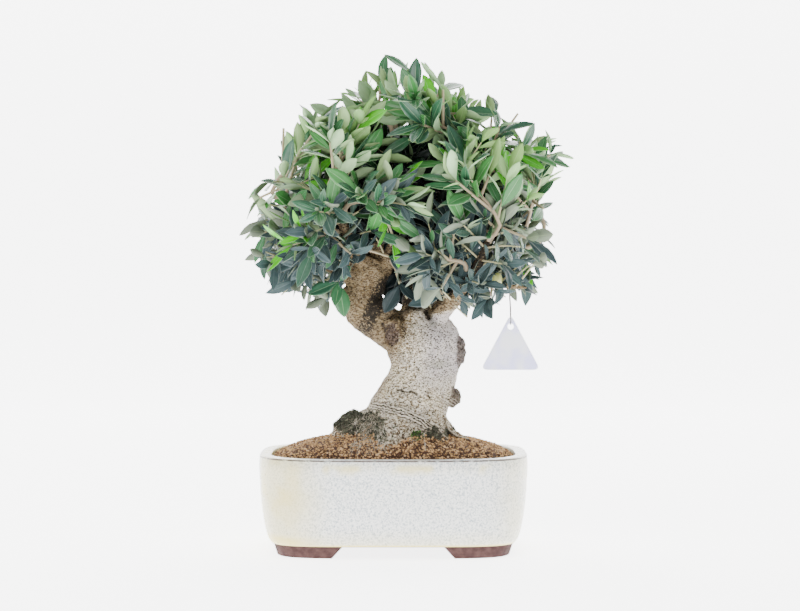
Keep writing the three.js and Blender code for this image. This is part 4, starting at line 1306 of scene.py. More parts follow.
def on_line(line, t):
    """The place, heading and radius at share t of a line of straight steps."""
    s = clamped(t) * (len(line) - 1)
    i = min(math.floor(s), len(line) - 2)
    at = tuple(line[i][k] + (line[i + 1][k] - line[i][k]) * (s - i) for k in range(3))
    return at, unit(less(line[i + 1], line[i])), mix(line[i][3], line[i + 1][3], s - i)


def heading(path, t):
    return unit(less(along(path, min(t + 0.02, 1)), along(path, max(t - 0.02, 0))))


def sideways(axis, angle):
    """A unit vector square to the given one, turned about it by an angle."""
    pole = (0, 0, 1) if abs(axis[2]) < 0.9 else (1, 0, 0)
    across = unit(cross(pole, axis))
    return added(scaled(across, cos(angle)), cross(axis, across), sin(angle))


# ---------------------------------------------------------------- where the wood and blades are


class Crowd:
    """Balls that mark the wood and the blades, found by place, so that new pieces keep clear of them."""

    def __init__(self, cell):
        self.cell = cell
        self.cells = {}
        self.thick = []

    def corner(self, at):
        return tuple(math.floor(v / self.cell) for v in at)

    def add(self, at, radius, owner, kind):
        ball = (at, radius, owner, kind)
        if radius > self.cell / 2:
            self.thick.append(ball)
        else:
            self.cells.setdefault(self.corner(at), []).append(ball)

    def clashes(self, at, radius, spare):
        def hit(ball):
            where, size, owner, kind = ball
            gap = (at[0] - where[0]) ** 2 + (at[1] - where[1]) ** 2 + (at[2] - where[2]) ** 2
            return gap < (radius + size) ** 2 and not spare(owner, kind)

        if any(hit(ball) for ball in self.thick):
            return True
        x, y, z = self.corner(at)
        for i in (x - 1, x, x + 1):
            for j in (y - 1, y, y + 1):
                for k in (z - 1, z, z + 1):
                    near = self.cells.get((i, j, k))
                    if near and any(hit(ball) for ball in near):
                        return True
        return False


def mark_wood(crowd, line, owner):
    length = sum(apart(a, b) for a, b in zip(line, line[1:]))
    steps = math.ceil(length / 2)
    for k in range(steps + 1):
        at, _, radius = on_line(line, k / steps)
        crowd.add(at, radius + GAP, owner, "wood")


def mark_tag(crowd):
    """The tag and its string, from the tag's lower edge up to the twig."""
    z = TAG_TOP - TAG_HEIGHT
    while z < TAG_TOP + 28:
        half = TAG_WIDTH / 2 * (TAG_TOP - z) / TAG_HEIGHT if z < TAG_TOP else 0
        x = -half
        while x <= half + 0.1:
            crowd.add((TAG_X + x, TAG_Y, z), 3.5, HANGING, "tag")
            x += 4
        z += 4


# ---------------------------------------------------------------- leaves


def blade(root, axis, up, length, width, bend):
    """A leaf's blade: it runs along its axis with its upper face up and bends down towards its tip."""
    side = cross(up, axis)
    return {"root": root, "axis": axis, "up": up, "side": side, "length": length, "width": width, "bend": bend}


def half_width(leaf, u):
    return leaf["width"] / 2 * sin(pi * u**1.2) ** 0.8


def on_blade(leaf, u, v):
    """A place on a blade: u runs from root to tip, v from edge to edge."""
    at = added(leaf["root"], leaf["axis"], leaf["length"] * u)
    at = added(at, leaf["side"], half_width(leaf, u) * v)
    return added(at, leaf["up"], -leaf["bend"] * leaf["length"] * u * u)


def blade_checks(leaf):
    return [on_blade(leaf, u, v) for u in BLADE_CHECKS for v in BLADE_SIDES]


def in_crown(p):
    """Whether a place lies inside the edge of the leaves as seen from the front."""
    near = CAMERA_BACK / (CAMERA_BACK + p[1])
    x, z = CAMERA_RIGHT + (p[0] - CAMERA_RIGHT) * near, CAMERA_HEIGHT + (p[2] - CAMERA_HEIGHT) * near
    inside = False
    for (ax, az), (bx, bz) in zip(CROWN_EDGE, CROWN_EDGE[1:] + CROWN_EDGE[:1]):
        if (az > z) != (bz > z) and x < ax + ((z - az) / (bz - az)) * (bx - ax):
            inside = not inside
    return inside


def grow_leaf(crowd, shoot, t, turn, number, owner):
    """One leaf at share t of a shoot, on the side that turn gives, or None where there is no room."""
    roll = dice(SEED * 7919 + owner * 613 + number * 31)
    at, stem, _ = on_line(shoot, t)
    at_tip = t > 0.99
    size = mix(*LEAF_LENGTH, roll())
    slender = mix(*LEAF_SLENDER, roll())
    for attempt in range(8):
        spread = mix(0.3, 0.8, roll()) + (0 if at_tip else 0.4) + 0.04 * attempt
        out = sideways(stem, turn + mix(-0.35, 0.35, roll()) * (1 + 0.3 * attempt))
        axis = added(scaled(stem, cos(spread)), out, sin(spread))
        up = added(stem, (0, 0, 1), 0.5)
        up = squared(up, axis)
        length = size * (1 - 0.05 * attempt)
        root = added(at, stem, (-0.9 if at_tip else 0) - 0.35 * (number % 2))
        leaf = blade(root, axis, up, length, length * slender, mix(0, 0.16, roll()))
        foot = on_blade(leaf, BLADE_FOOT, 0)
        checks = blade_checks(leaf)
        if crowd.clashes(foot, BLADE_ROOM, lambda other, kind: other == owner):
            continue
        if not all(map(in_crown, checks)):
            continue
        if any(
            crowd.clashes(p, BLADE_ROOM, lambda other, kind: other == owner and kind == "wood") for p in checks
        ):
            continue
        for p in [foot, *checks]:
            crowd.add(p, BLADE_ROOM, owner, "blade")
        return leaf
    return None


# ---------------------------------------------------------------- sprays


def spray_tips():
    """Where the sprays' leading shoots end, spread evenly over the crown."""
    roll = dice(SEED + 1)
    turn = pi * (3 - math.sqrt(5))
    tips = []
    for i in range(CROWN_SPRAYS):
        rise = mix(1, CROWN_LOWEST, (i + 0.4) / CROWN_SPRAYS)
        flat = math.sqrt(1 - rise * rise) if rise > 0 else (1 + rise**3) ** (1 / 3)
        by = mix(0.9, 1.04, roll())
        out = (flat * cos(i * turn), flat * sin(i * turn), rise)
        tips.append(tuple(c + o * r * by for c, o, r in zip(CROWN_CENTRE, out, CROWN_REACH)))
    return tips


def root_place(tip, taken):
    """The branch and the share of it where a spray best starts, 1 being its end."""
    best = None
    for branch in BRANCHES:
        for k in range(5, 21):
            t = k / 20
            at = along(branch, t)[:3]
            way = less(tip, at)
            length = math.sqrt(dot(way, way))
            turn = dot(unit(way), heading(branch, t))
            awry = (turn < -0.1 or turn > 0.86) if t < 1 else turn < 0.3
            if awry or any(apart(p, at) < SPRAY_SPACING for p in taken):
                continue
            cost = max(length, 2 * GOOD_STEM - length) * (1.5 - 0.5 * turn) * (1 if t < 1 else 0.75)
            if best is None or cost < best[0]:
                best = (cost, branch, t, at)
    return best[1:]


def spray_stem(crowd, tip, place, roll):
    """A stem from the branch to the tip: it carries on from a branch's end, or stands off its side."""
    branch, t, at = place
    tangent = heading(branch, t)
    radius = min(2.2, along(branch, t)[3] * 0.62)
    first = unit(added(unit(less(tip, at)), tangent, 0.45))
    start = at
    if t < 1:
        while crowd.clashes(start, radius + 0.1, lambda other, kind: other != OLD_WOOD):
            start = added(start, first, 0.5)
    else:
        start = added(start, tangent, GAP + 0.4)
        first = tangent
    span = apart(tip, start)
    bow = scaled(sideways(first, 2 * pi * roll()), span * 0.04)
    low = added(added(start, first, span * 0.34), bow)
    high = added(start, less(tip, start), 0.68)
    path = [(*p, r) for p, r in zip((start, low, high, tip), (radius, radius * 0.85, 1.35, 1.05))]
    return stations(path, 4)


def side_shoot(stem, t, angle, roll):
    """A side shoot leaves the stem at share t and ends beside the leading tip."""
    at = on_line(stem, t)[0]
    tip, axis, _ = on_line(stem, 1)
    end = added(tip, sideways(axis, angle), SIDE_REACH * mix(0.9, 1.2, roll()))
    end = added(end, axis, mix(-14, 0, roll()))
    return [(*at, 1.3), (*end, 1)]


def is_free(crowd, line, owner, start, room=0.5):
    for k in range(25):
        at, _, radius = on_line(line, mix(start, 1, k / 24))
        if crowd.clashes(at, radius + room, lambda other, kind: other == owner):
            return False
    return True


def grow_spray(crowd, tip, place, owner):
    roll = dice(SEED * 101 + owner)
    stem = None
    for attempt in range(20):
        shift = tuple((roll() - 0.5) * 4 * attempt for _ in range(3))
        tried = spray_stem(crowd, added(tip, shift), place, roll)
        near = (0.6 if place[1] < 1 else 7) / apart(tried[0], tried[4])
        if is_free(crowd, tried, owner, near):
            stem = tried
            break
    if stem is None:
        return None
    mark_wood(crowd, stem, owner)
    shoots = [(stem, STEM_SHARES)]
    spin = 2 * pi * roll()
    for number, t in enumerate(SIDE_SHOOTS):
        for _ in range(10):
            line = side_shoot(stem, t, spin + 2.1 * number + mix(-0.5, 0.5, roll()), roll)
            if is_free(crowd, line, owner, 0):
                mark_wood(crowd, line, owner)
                shoots.append((line, SIDE_SHARES))
                break
    return {"owner": owner, "shoots": shoots, "leaves": [], "fruit": []}


def grow_olive(crowd, centre, tip, sprays):
    """An olive on a stalk from the nearest shoot that a straight stalk reaches without touching another."""
    axis = unit(tip)
    top = added(centre, axis, -OLIVE_LENGTH * 0.46)
    places = [
        (apart(on_line(line, 0.4 + 0.05 * k)[0], top), spray, on_line(line, 0.4 + 0.05 * k)[0])
        for spray in sprays
        for line, _ in spray["shoots"]
        for k in range(13)
    ]
    places.sort(key=lambda place: place[0])
    for _, spray, at in places:
        stalk = [(*at, OLIVE_STALK), (*top, OLIVE_STALK)]
        if is_free(crowd, stalk, spray["owner"], 0):
            break
    mark_wood(crowd, stalk, spray["owner"])
    for share in (-0.3, 0, 0.3):
        crowd.add(added(centre, axis, OLIVE_LENGTH * share), 3.9, spray["owner"], "olive")
    spray["fruit"].append((centre, axis, stalk))


def grow_crown(crowd):
    """The crown as the solids have it: the same stems, shoots and blades, in the same places."""
    for path in (*BRANCHES, TRUNK, LIMB):
        mark_wood(crowd, stations(path, 12), OLD_WOOD)
    mark_tag(crowd)
    taken = []
    sprays = []
    for owner, tip in enumerate(spray_tips()):
        place = root_place(tip, taken)
        taken.append(place[2])
        sprays.append(grow_spray(crowd, tip, place, owner))
    sprays = [spray for spray in sprays if spray]
    for centre, tip in OLIVES:
        grow_olive(crowd, centre, tip, sprays)
    for spray in sprays:
        owner = spray["owner"]
        pairs = [
            (line, t, k * (pi / 2) + owner) for line, shares in spray["shoots"] for k, t in enumerate(shares)
        ]
        for k, (line, t, turn) in enumerate(pairs):
            for half in (0, 1):
                leaf = grow_leaf(crowd, line, t, turn + half * pi, 2 * k + half, owner)
                if leaf:
                    spray["leaves"].append(leaf)
    return sprays


# ---------------------------------------------------------------- the trunk


def smooth_step(value, low, high):
    t = np.clip((value - low) / (high - low), 0, 1)
    return t * t * (3 - 2 * t)


def by_line(x, z, line, beyond=0):
    """How far places are above a line drawn on the front, and how far along it they are as a share."""
    best, run, start = np.full(len(x), 1e9), np.zeros(len(x)), 0
    last = len(line) - 2
    for k, ((ax, az), (bx, bz)) in enumerate(zip(line, line[1:])):
        dx, dz = bx - ax, bz - az
        t = ((x - ax) * dx + (z - az) * dz) / (dx * dx + dz * dz)
        held = np.clip(t, -beyond * (k == 0), 1 + beyond * (k == last))
        away_x, away_z = x - ax - held * dx, z - az - held * dz
        away = np.hypot(away_x, away_z)
        near = away < np.abs(best)
        best = np.where(near, np.copysign(away, dx * away_z - dz * away_x), best)
        run = np.where(near, start + t * math.hypot(dx, dz), run)
        start += math.hypot(dx, dz)
    return best, run / start


def patch(x, z, centre, half):
    """How far out places are in an oval drawn on the front, 1 at its edge."""
    return np.hypot((x - centre[0]) / half[0], (z - centre[1]) / half[1])


def rough(points, size, shift=0.0):
    """Smooth noise from -1 to 1 whose lumps are about size millimetres across."""
    return np.array([noise.noise(Vector(p) / size + Vector((shift, shift, shift))) for p in points])


def woody(name, parts, voxel):
    """One continuous skin round crossing bars and balls."""
    made = mesh_object(name, *merged(parts))
    remesh = made.modifiers.new("skin", "REMESH")
    remesh.mode = "VOXEL"
    remesh.voxel_size = voxel
    relax = made.modifiers.new("relax", "SMOOTH")
    relax.factor = 0.5
    relax.iterations = 5
    return baked(made)


def shape_bark(made):
    """Pushes lumps, folds, cracks and scars into the skin, and notes for the bark's paint where each is."""
    mesh = made.data
    count = len(mesh.vertices)
    points = np.empty(count * 3, np.float32)
    normals = np.empty(count * 3, np.float32)
    mesh.vertices.foreach_get("co", points)
    mesh.vertices.foreach_get("normal", normals)
    points = (points.reshape(-1, 3) - ORIGIN) / MM
    normals = normals.reshape(-1, 3)
    x, y, z = points.T
    front = smooth_step(-normals[:, 1], 0.0, 0.35)
    old = smooth_step(z, 262, 236)
    low = smooth_step(z, 116, 96)
    stretched = points * (1, 1, 1.5)
    height = 1.3 * rough(points, 17) * old + 0.55 * rough(stretched, 6.5, 3) * (0.35 + 0.65 * old)
    height += 0.22 * rough(stretched, 2.6, 7) + low * 0.8 * rough(points, 3.4, 11)
    astray_x, astray_z = x + 1.3 * rough(points, 4, 2), z + 1.1 * rough(points, 3, 4)
    crack = np.full(count, 9.0)
    for line, half, depth in CRACKS:
        away = np.abs(by_line(astray_x, astray_z, line)[0]) / half + 9 * (1 - front)
        crack = np.minimum(crack, away)
        height -= depth * (1 - smooth_step(away, 0.3, 2.2))
    fold, folded = np.zeros(count), np.zeros(count)
    for line, spacing, half, rise in FOLDS:
        away, run = by_line(astray_x, astray_z, line, 9)
        band = smooth_step(np.abs(away) + 1.5 * rough(points, 7, 6), half, half * 0.6) * front
        band *= smooth_step(run, -0.15, 0.1) * smooth_step(run, 1.15, 0.9)
        height += band * rise * np.cos(2 * pi * away / spacing)
        fold = np.where(band > folded, away / spacing, fold)
        folded = np.maximum(folded, band * rise / 0.8)
    bare = np.zeros(count)
    for centre, half in SCARS:
        out = patch(x, z, centre, half) + 0.3 * rough(points, 5, 5)
        inside = (1 - smooth_step(out, 0.5, 1.05)) * front
        height += 0.7 * np.exp(-(((out - 1.1) / 0.16) ** 2)) * front - 2.2 * inside
        bare = np.maximum(bare, inside)
    spoke = np.arctan2(x - FAN[0], FAN[1] - z)
    length = np.hypot(x - FAN[0], z - FAN[1])
    fan = smooth_step(
        np.abs(spoke + 0.2), 1.0, 0.6
    ) * smooth_step(length, 29, 19) * smooth_step(length, 2, 5) * front
    height += fan * 1.0 * np.sin(11 * spoke + 1.5 * rough(points, 6, 9))
    for (kx, kz), radius, rise in KNOBS:
        height += rise * np.exp(-((x - kx) ** 2 + (z - kz) ** 2) / radius**2) * front
    burl = np.zeros(count)
    for (bx, by, bz), (half_x, half_y, half_z) in BURLS[:2]:
        out = np.hypot(np.hypot((x - bx) / half_x, (y - by) / half_y), (z - bz) / half_z)
        near = smooth_step(out, 1.35, 0.95) * smooth_step(x - bx, -5, 1)
        height += near * (1.6 * rough(points, 4.2, 15) + 0.9 * rough(points, 2.2, 16))
        burl = np.maximum(burl, near)
    ragged = 0.45 * rough(points, 7, 21) + 0.3 * rough(points, 2.6, 22)
    moss = smooth_step(z + 9 * rough(points, 16, 23), 101, 92) * smooth_step(y, -12, 4) * 0.8
    live = smooth_step(rough(points, 9, 24), 0.35, 0.5) * moss
    for centre, half, thick, share_live in MOSS:
        grows = (1 - smooth_step(patch(x, z, centre, half) + ragged, 0.75, 1.1)) * smooth_step(y, 6, -4)
        height += grows * thick * (0.7 + 0.5 * rough(points, 4, 25))
        moss = np.maximum(moss, grows)
        live = np.maximum(live, grows * share_live)
    above = z - np.array([soil_height(*at) for at in points[:, :2]])
    shaded = smooth_step(x + 0.4 * (165 - z), 24, -6) * smooth_step(z, 104, 130)
    limb = smooth_step(z - 0.35 * x, 178, 198) * smooth_step(z, 268, 240)
    limb = np.maximum(limb, smooth_step(z - 0.4 * x, 168, 180) * smooth_step(x, 2, -10))
    forked = smooth_step(z - 0.2 * x, 181, 190) * smooth_step(x, 20, 34)
    away, run = by_line(x, z, CROTCH)
    crotch = smooth_step(np.abs(away), 15, 1) * smooth_step(-normals[:, 1], -0.3, 0.2)
    crotch *= 1 - 0.45 * np.clip(run, 0, 1)
    found = {
        "crack": crack,
        "fold": fold,
        "folded": folded,
        "bare": bare,
        "spoke": spoke,
        "fan": fan,
        "burl": burl,
        # dark: painted shade, with some dark lichen, along the crotch and on the trunk's top under the crown
        "dark": np.maximum(
            crotch, 0.75 * smooth_step(z - 0.5 * np.abs(x - 18), 186, 200) * smooth_step(x, -8, 4)
        ),
        # tan: the bark's older tan patches, with painted shade down the trunk's left flank and on the shoulder
        # under the limb
        "tan": np.maximum(np.maximum(shaded * 0.9, limb * 0.5), forked) * smooth_step(z, 290, 255),
        "grey": smooth_step(x, 14, 34) * smooth_step(z, 118, 150) * (1 - forked),
        "low": low,
        "open": moss * (1 - live) * smooth_step(above, -2, 0),
        "live": live * smooth_step(above, -2, 0),
        "dusty": smooth_step(above + 1.2 * rough(points, 5, 31), 3.2, 0.6) * smooth_step(above, -3, -1),
        "lichen": np.exp(-(((x - 37) / 12) ** 2) - ((z - 151) / 5) ** 2) * front
        + 0.9 * np.exp(-(((x - 33) / 5) ** 2) - ((z - 185) / 3.5) ** 2) * front,
    }
    mesh.vertices.foreach_set("co", placed(points + normals * height[:, None]).astype(np.float32).ravel())
    mesh.update()
    for name, values in found.items():
        store(mesh, name, values)


def trunk_parts():
    parts = [tube(stations(TRUNK, 33), 64), tube(stations(LIMB, 24), 48)]
    parts += [tube(stations(root, 16), 24) for root in ROOTS]
    parts += [tube(stations(branch, 24), 16) for branch in BRANCHES]
    parts += [ellipsoid(centre, half) for centre, half in BURLS]
    return parts


class BONSAI_OT_trunk(bpy.types.Operator):
    """Grows the trunk with its roots, burls, limb and main branches as one skin of bark"""

    bl_idname = "bonsai.trunk"
    bl_label = "Trunk"

    def execute(self, context):
        look = context.scene.bonsai_bark
        made = woody("trunk_bark", trunk_parts(), look.voxel)
        shape_bark(made)
        finished(made, bark_material(look), "bark", ["trunk"])
        return {"FINISHED"}


# ---------------------------------------------------------------- moss and fine roots


def moss_tuft(name, seed):
    """A cushion of short pointed blades, about one across."""
    roll = dice(SEED + seed)
    points, faces = [], []
    for k in range(8):
        turn = 2.4 * k
        lean = mix(0.1, 1.2, roll())
        axis = (sin(lean) * cos(turn), sin(lean) * sin(turn), cos(lean))
        first, second = sideways(axis, 0), sideways(axis, 2.1)
        foot = scaled(axis, -0.1)
        wide = mix(0.12, 0.2, roll())
        a = len(points)
        points += [
            added(foot, first, wide), added(foot, second, wide), added(foot, added(first, second, 1), -wide)
        ]
        points.append(scaled(axis, mix(0.45, 0.8, roll())))
        faces += [(a, a + 1, a + 3), (a + 1, a + 2, a + 3), (a + 2, a, a + 3), (a + 2, a + 1, a)]
    return small_shape(name, points, faces)


def ground_surface():
    """The bark and the soil's bed as one surface to lay things on."""
    points, faces = [], []
    for name in ("trunk_bark", "soil_bed"):
        mesh = bpy.data.objects[name].data
        faces += [[i + len(points) for i in face.vertices] for face in mesh.polygons]
        points += [v.co.copy() for v in mesh.vertices]
    return BVHTree.FromPolygons(points, faces)


def laid(surface, line, turn, radii):
    """A thin line that lies on the surface, drawn as seen from a side. It ends where nothing is met."""
    toward = Vector((sin(turn), cos(turn), 0))
    across = Vector((cos(turn), -sin(turn), 0))
    found = []
    for k, (u, z) in enumerate(line):
        share = k / (len(line) - 1)
        start = Vector(ORIGIN) + Vector((0, 0, z * MM)) + across * (u * MM) - toward * 0.3
        hit = surface.ray_cast(start, toward)[0]
        if hit is None:
            break
        radius = mix(*radii, share)
        at = (hit - Vector(ORIGIN) - toward * (0.5 * radius * MM)) / MM
        if found and apart(found[-1], at) > 9:
            break
        found.append((*at, radius))
    return found


def root_lines(surface):
    """The thin surface roots at the front, a few round the back, and the fibres that lie over the moss."""
    roll = dice(SEED * 3)
    lines = []
    for line, *radii in SURFACE_ROOTS:
        steps = [by_share(line, k / 14) for k in range(15)]
        lines.append(laid(surface, [(x + mix(-0.4, 0.4, roll()), z) for x, z in steps], 0, radii))
    for number in range(FIBRES):
        turn = 0 if number < FIBRES * 0.7 else mix(0.6, 5.7, roll())
        u, z = (
            mix(-32, -5, roll()), mix(87, 112, roll())
        ) if turn == 0 else (mix(-36, 36, roll()), mix(88, 100, roll()))
        way = mix(-2.6, -0.5, roll()) if turn == 0 else mix(-2.3, -0.8, roll())
        line = []
        for _ in range(8):
            line.append((u, z))
            way += mix(-0.5, 0.5, roll())
            u, z = u + 1.5 * cos(way), z + 1.5 * sin(way)
        lines.append(laid(surface, line, turn, (mix(0.14, 0.3, roll()), 0.1)))
    return [line for line in lines if len(line) > 3]


def by_share(line, share):
    """A place on a line of (x, z) at a share of its steps."""
    at = share * (len(line) - 1)
    k = min(int(at), len(line) - 2)
    return mixed(line[k], line[k + 1], at - k)


def line_tree():
    """Rounds thin lines by the thickness stored at their points."""
    tree, given, out = geometry_tree("thin_lines", {"Material": "Material"})
    whole = realized(tree, rounded(tree, given["Geometry"], 5))
    tree.links.new(clad(tree, whole, given["Material"]), out["Geometry"])
    return tree


class BONSAI_OT_cover(bpy.types.Operator):
    """Grows moss over the surface roots and lays fine roots across it"""

    bl_idname = "bonsai.cover"
    bl_label = "Moss and fine roots"

    def execute(self, context):
        bark = bpy.data.objects["trunk_bark"]
        shapes = [moss_tuft(f"tuft_{k}", k) for k in range(3)]
        tree = scatter_tree(len(shapes))
        sizes = {"Spacing": 1.0 * MM, "Smallest": 1.3 * MM, "Largest": 3.0 * MM, "Sunk": 0.3 * MM}
        dry = moss_material("dry_moss", (0.02, 0.022, 0.014), (0.22, 0.23, 0.16))
        live = moss_material("live_moss", (0.012, 0.035, 0.008), (0.09, 0.26, 0.03))
        strewn("moss_dry", bark, tree, shapes, "bark", Where="open", Seed=3, Material=dry, **sizes)
        strewn("moss_live", bark, tree, shapes, "bark", Where="live", Seed=4, Material=live, **sizes)
        removed(shapes)
        points, edges, thick, tone = [], [], [], []
        for number, line in enumerate(root_lines(ground_surface())):
            edges += [(len(points) + k, len(points) + k + 1) for k in range(len(line) - 1)]
            points += [p[:3] for p in line]
            thick += [p[3] * MM for p in line]
            tone += [number * 0.618 % 1] * len(line)
        made = mesh_object("fine_roots", points, [], edges)
        store(made.data, "thick", thick)
        store(made.data, "tone", tone)
        with_nodes(made, line_tree(), Material=root_material())
        finished(made, None, "bark")
        return {"FINISHED"}


# ---------------------------------------------------------------- the fine crown


class Space:
    """The part of the crown that is already filled, in small cells."""

    def __init__(self, cell=1.7):
        self.low = (np.array(CAD_LOW) - ORIGIN) / MM + 0.4
        self.high = (np.array(CAD_HIGH) - ORIGIN) / MM - 0.4
        self.cell = cell
        self.full = np.zeros(tuple(np.ceil((self.high - self.low) / cell).astype(int) + 2), bool)

    def holds(self, points):
        return bool((points > self.low).all() and (points < self.high).all())

    def cells(self, points):
        return tuple(np.floor((points - self.low) / self.cell).astype(int).T)

    def taken(self, points):
        return self.full[self.cells(points)].mean()

    def fill(self, points):
        self.full[self.cells(points)] = True


BLADE_U, BLADE_V = (grid.ravel() for grid in np.meshgrid(np.linspace(0.1, 1, 15), np.linspace(-0.9, 0.9, 5)))


def blade_points(leaf):
    """Places all over a blade, as rows."""
    half = leaf["width"] / 2 * np.sin(np.pi * BLADE_U**1.15) ** 0.85
    found = np.array(leaf["root"]) + np.outer(BLADE_U * leaf["length"], leaf["axis"])
    found += np.outer(half * BLADE_V, leaf["side"])
    return found - np.outer(leaf["bend"] * leaf["length"] * BLADE_U**2, leaf["up"])


BLADE_EDGE = [r * 5 + c for r in (5, 8, 11, 14) for c in (0, 2, 4)]


def set_leaf(space, shoot, t, turn, roll, length, spread, crowding, edge):
    """One more leaf on a shoot, or None where its place is taken."""
    at, stem, _ = on_line(shoot, t)
    high = clamped((at[2] - 235) / 90)
    outward = unit([(p - c) / r for p, c, r in zip(at, CROWN_CENTRE, CROWN_REACH)])
    shown = mix(0.3, 1.6, roll()) * (-1 if roll() < mix(0.22, 0.55, high * high) else 1)
    for attempt in range(4):
        open_by = spread + mix(-0.15, 0.15, roll()) + 0.08 * attempt
        out = sideways(stem, turn + mix(-0.4, 0.4, roll()) * (1 + 0.4 * attempt))
        axis = added(scaled(stem, cos(open_by)), out, sin(open_by))
        up = added(stem, (0, 0, 1), mix(0.1, 0.7, roll()))
        up = added(up, cross(stem, out), mix(-0.45, 0.45, roll()))
        up = added(squared(up, axis), outward, shown)
        up = squared(up, axis)
        held = edge * (1 if dot(axis, outward) > 0.6 else 0.86)
        long = length * (1 - 0.07 * attempt)
        width = long * mix(mix(0.22, 0.27, high), mix(0.34, 0.41, high), roll())
        leaf = blade(added(at, stem, -0.2), axis, up, long, width, mix(-0.05, 0.2, roll()))
        places = blade_points(leaf)
        inner = (places[BLADE_EDGE] - CROWN_CENTRE) / held + CROWN_CENTRE
        fits = space.holds(places) and all(in_crown(p) for p in inner)
        if fits and space.taken(places[15:]) < crowding:
            space.fill(places)
            return leaf
    return None


def leaf_look(leaf, roll, young):
    """The look of a leaf from its place: green and lit above, slate blue with painted shade low down and
    inside, and near black with painted shade deep inside.
    """
    place = added(leaf["root"], leaf["axis"], leaf["length"] * 0.5)
    out = math.sqrt(sum(((p - c) / r) ** 2 for p, c, r in zip(place, CROWN_CENTRE, CROWN_REACH)))
    leaf["tone"] = roll()
    # Painted light: high and outer leaves count as lit, low and inner ones as shaded.
    leaf["lift"] = clamped((place[2] - 256) / 80 + 0.7 * (out - 0.85) + mix(-0.28, 0.28, roll()))
    # How deep inside the crown a leaf is, for its painted shade.
    leaf["inner"] = clamped((0.88 - out) / 0.28)
    leaf["young"] = young
    return leaf


def dress_shoot(space, spray, shoot, first, roll, young):
    """Pairs of leaves along a shoot from a share of its length and a tuft of small ones, and how many."""
    before = len(spray["fine"])
    length = sum(apart(a, b) for a, b in zip(shoot, shoot[1:]))
    pairs = max(1, round(length * (1 - first) / INTERNODE))
    high = clamped((shoot[-1][2] - 240) / 100)
    edge = mix(*LEAF_EDGE, 0.5 * (spray["owner"] * 0.618 % 1) + 0.5 * roll() ** 0.7)
    for k in range(pairs):
        t = mix(first, 0.97, (k + mix(0, 0.5, roll())) / pairs)
        for half in (0, 1):
            size = mix(mix(19, 26, high), mix(31, 40, high), roll()) * (1 - 0.12 * (k == pairs - 1))
            turn = k * pi / 2 + half * pi + spray["owner"]
            spread = mix(0.8, 0.45, high) + 0.4 * roll()
            leaf = set_leaf(space, shoot, t, turn, roll, size, spread, 0.12, edge)
            if leaf:
                new = young * (1 if k > pairs - 3 else 0.25) * mix(0.6, 1, roll())
                spray["fine"].append(leaf_look(leaf, roll, new))
    for k in range(4):
        size = mix(22, 34, roll()) if k < 2 else mix(10, 18, roll())
        spread = mix(0.35, 0.7, roll()) if k < 2 else mix(0.12, 0.35, roll())
        turn = (pairs + k // 2) * pi / 2 + k * pi + spray["owner"]
        leaf = set_leaf(space, shoot, 1, turn, roll, size, spread, 0.3, (1 + edge) / 2 if k < 2 else edge)
        if leaf:
            spray["fine"].append(leaf_look(leaf, roll, young))
    return len(spray["fine"]) - before


def thin_shoot(at, axis, radius, spread, turn, reach, droop):
    """A thin shoot off a stem or branch, bowed a little."""
    way = added(scaled(axis, cos(spread)), sideways(axis, turn), sin(spread))
    middle = added(added(at, way, reach * 0.5), (0, 0, 1), (0.04 - 0.3 * droop) * reach)
    tip = added(added(at, way, reach), (0, 0, 1), (0.08 - droop) * reach)
    return stations([(*at, radius), (*middle, radius * 0.75), (*tip, 0.5)], 6)


def low_shoots(space, sprays):
    """Short twigs that fill the crown's inside and foot, each counted with the nearest spray."""
    roll = dice(SEED * 5)
    for branch in BRANCHES:
        spin = 2 * pi * roll()
        for k, t in enumerate(LOW_SHOOTS):
            for half in (0, 1, 2):
                at = along(branch, t)
                turn = spin + 2.4 * k + 2.1 * half
                reach = mix(*LOW_REACH, roll())
                droop = mix(0, 0.25, roll())
                shoot = thin_shoot(at[:3], heading(branch, t), 1.0, mix(0.8, 1.3, roll()), turn, reach, droop)
                places = np.array([p[:3] for p in shoot])
                if not space.holds(places) or not in_crown(places[-1]) or space.taken(places[2:]) > 0.2:
                    continue
                spray = min(sprays, key=lambda one: apart(on_line(one["shoots"][0][0], 0.5)[0], shoot[-1]))
                space.fill(places)
                if dress_shoot(space, spray, shoot, 0.3, roll, 0.0) > 1:
                    spray["twigs"].append(shoot)


def front_leaves(space, sprays):
    """The twigs and leaves that hang before the limb and in the fork."""
    roll = dice(SEED * 7)
    tips = [(one, on_line(one["shoots"][0][0], 0.5)[0]) for one in sprays]
    for line in FRONT_TWIGS:
        near = min(tips, key=lambda one: apart(one[1], line[-1]))[0]
        near["twigs"].append(stations(line, 10))
    for root, tip, width, lift, shade in FRONT_LEAVES:
        axis = unit(added(tip, root, -1))
        up = squared((mix(-0.3, 0.3, roll()), -1, mix(0.1, 0.6, roll())), axis)
        leaf = blade(root, axis, up, apart(root, tip), width, mix(0, 0.12, roll()))
        leaf |= {"tone": mix(0.2, 0.7, roll()), "lift": lift, "young": 0.0, "inner": shade}
        space.fill(blade_points(leaf))
        min(tips, key=lambda one: apart(one[1], root))[0]["fine"].append(leaf)


GROWN = []


